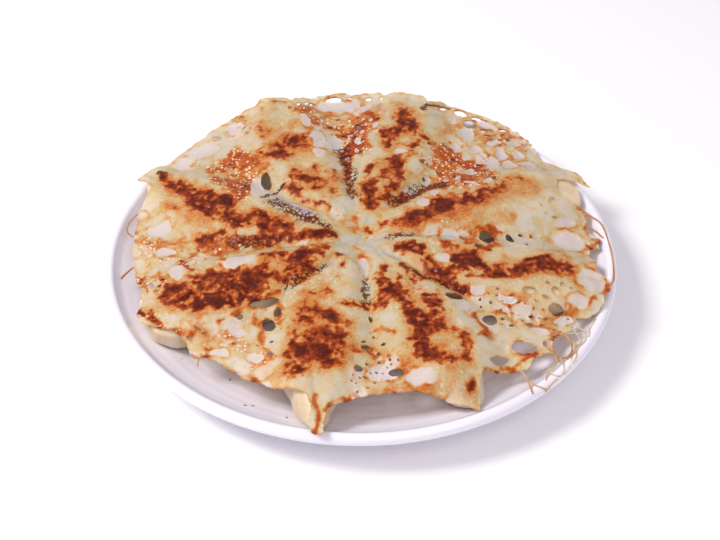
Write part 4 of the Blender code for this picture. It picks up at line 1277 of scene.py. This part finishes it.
# %% [markdown]
# ## Dumplings
# Under the sheet lie the dumplings themselves, upside down. The wrapper is full and round at
# the side that faces up and narrows to the crimped seam below, where the pleats gather. Each
# body is a sphere pulled out along its dumpling's bowed line, with its own pleats. Its top
# keeps below the film's browned face. Where a blister hangs low the two overlap by less than
# a millimetre, out of sight.

# %% Dumpling bodies
BODY_DEPTH, TIP_DEPTH = 25, 5
FILM_GAP, FLOOR_GAP = 1.25, 0.2
PLEAT_DEPTH = 0.8
WIDEST = 0.68                             # share of the depth at which the body is widest
EAR = {"gyoza_5": 0.7, "gyoza_6": 1}      # how far the outer end is pinched to a ridge
USUAL_BELLY = 0.7
BELLY = {"gyoza_7": 0.2}                  # less is a fuller lower flank


def body_point(name, x, y, z, seed):
    """A point of the unit sphere, placed on the dumpling's skin, in mm."""
    axis = AXES[name]
    share = (1 - z) / 2
    ring = math.hypot(x, y) or 1
    across, rise = x / ring, y / ring
    tip = math.sqrt(max(1 - abs(2 * share - 1) ** 3, 0))
    wide = float(axis.width(min(max(share, 1e-4), 1 - 1e-4)))
    if rise > 0:
        side = math.copysign(abs(across) ** 0.65, across)
        level = WIDEST + (1 - WIDEST) * rise ** 0.65
    else:
        side = math.copysign(abs(across) ** BELLY.get(name, USUAL_BELLY), across)
        level = WIDEST * max(1 + rise, 0) ** 0.7
    ear = EAR.get(name, 0) * float(smooth(share, 0.7, 0.95))
    pinched = math.copysign(abs(across) ** 0.4, across) * (0.35 + 1.1 * (1 - level))
    side = side * (1 - ear) + pinched * ear
    pleat = math.sin(share * 46 + seed + 0.8 * across) * (1 - level) ** 0.7 * tip
    plan = axis.point(share, side * wide * min(tip * 3, 1) + PLEAT_DEPTH * pleat)
    top = float(sheet_height(plan[0], plan[1])) - FILM_GAP
    deep = TIP_DEPTH + (BODY_DEPTH - TIP_DEPTH) * (tip + (1 - tip) * ear)
    low = max(float(plate_top(math.hypot(*plan))) + FLOOR_GAP, top - deep)
    return plan[0], plan[1], low + (top - low) * level


def make_body(name, seed):
    """One dumpling's body."""
    bm = bmesh.new()
    bmesh.ops.create_uvsphere(bm, u_segments=56, v_segments=72, radius=1)
    for vert in bm.verts:
        vert.co = Vector(body_point(name, *vert.co, seed)) * MM
    bmesh.ops.recalc_face_normals(bm, faces=bm.faces)
    return finish_piece(name.replace("gyoza", "dumpling"), bm, DOUGH, [name], sharp=70)


for number, name in enumerate(NAMES):
    make_body(name, number * 1.7)
print(len(NAMES), "dumplings")

# %% [markdown]
# ## Table, light and camera
# A pale table and broad soft lamps, as in a bright kitchen. The window's light comes from
# high on the left, so that blisters and pleats throw short shadows to the right, and a weak
# broad lamp in front keeps the flanks and the plate's wall from going grey. The camera looks
# down at the dish the way a guest at the table does.

# %% Table and world
scene = bpy.context.scene
scene.view_settings.view_transform = "Standard"
table_bm = bmesh.new()
bmesh.ops.create_grid(table_bm, x_segments=1, y_segments=1, size=3)
table_mesh = bpy.data.meshes.new("table")
table_bm.to_mesh(table_mesh)
table_bm.free()
table = bpy.data.objects.new("table", table_mesh)
scene.collection.objects.link(table)
TABLE_TOP, _, table_shader = new_material("matt white table")
table_shader.inputs["Base Color"].default_value = linear("F7F6F8")
table_shader.inputs["Roughness"].default_value = 0.8
table_mesh.materials.append(TABLE_TOP)

world = bpy.data.worlds.new("studio")
world.use_nodes = True
world.node_tree.nodes["Background"].inputs["Color"].default_value = linear("F3F1FA")
world.node_tree.nodes["Background"].inputs["Strength"].default_value = 0.58
scene.world = world


def add_lamp(name, place, size, power, color):
    """A soft square lamp aimed at the dish."""
    lamp = bpy.data.lights.new(name, "AREA")
    lamp.size, lamp.energy = size, power
    lamp.color = linear(color)[:3]
    made = bpy.data.objects.new(name, lamp)
    made.location = place
    made.rotation_euler = (Vector((0, 0, 0.02)) - Vector(place)).to_track_quat("-Z", "Y").to_euler()
    scene.collection.objects.link(made)


add_lamp("window", (-0.85, -0.12, 1.05), 0.45, 13.8, "FFFCF8")
add_lamp("fill", (0.35, -0.75, 0.95), 0.8, 4, "FFF6EE")

# %% Camera
TARGET, ELEVATION, DISTANCE = Vector((0, 0, 0.019)), math.radians(40.7), 0.66
PITCH = math.radians(0.7)
lens = bpy.data.cameras.new("camera")
lens.lens, lens.sensor_width = 69.9, 36
camera = bpy.data.objects.new("camera", lens)
camera.location = TARGET + DISTANCE * Vector((0, -math.cos(ELEVATION), math.sin(ELEVATION)))
camera.rotation_euler = (math.pi / 2 - ELEVATION - PITCH, 0, 0)
scene.collection.objects.link(camera)
scene.camera = camera
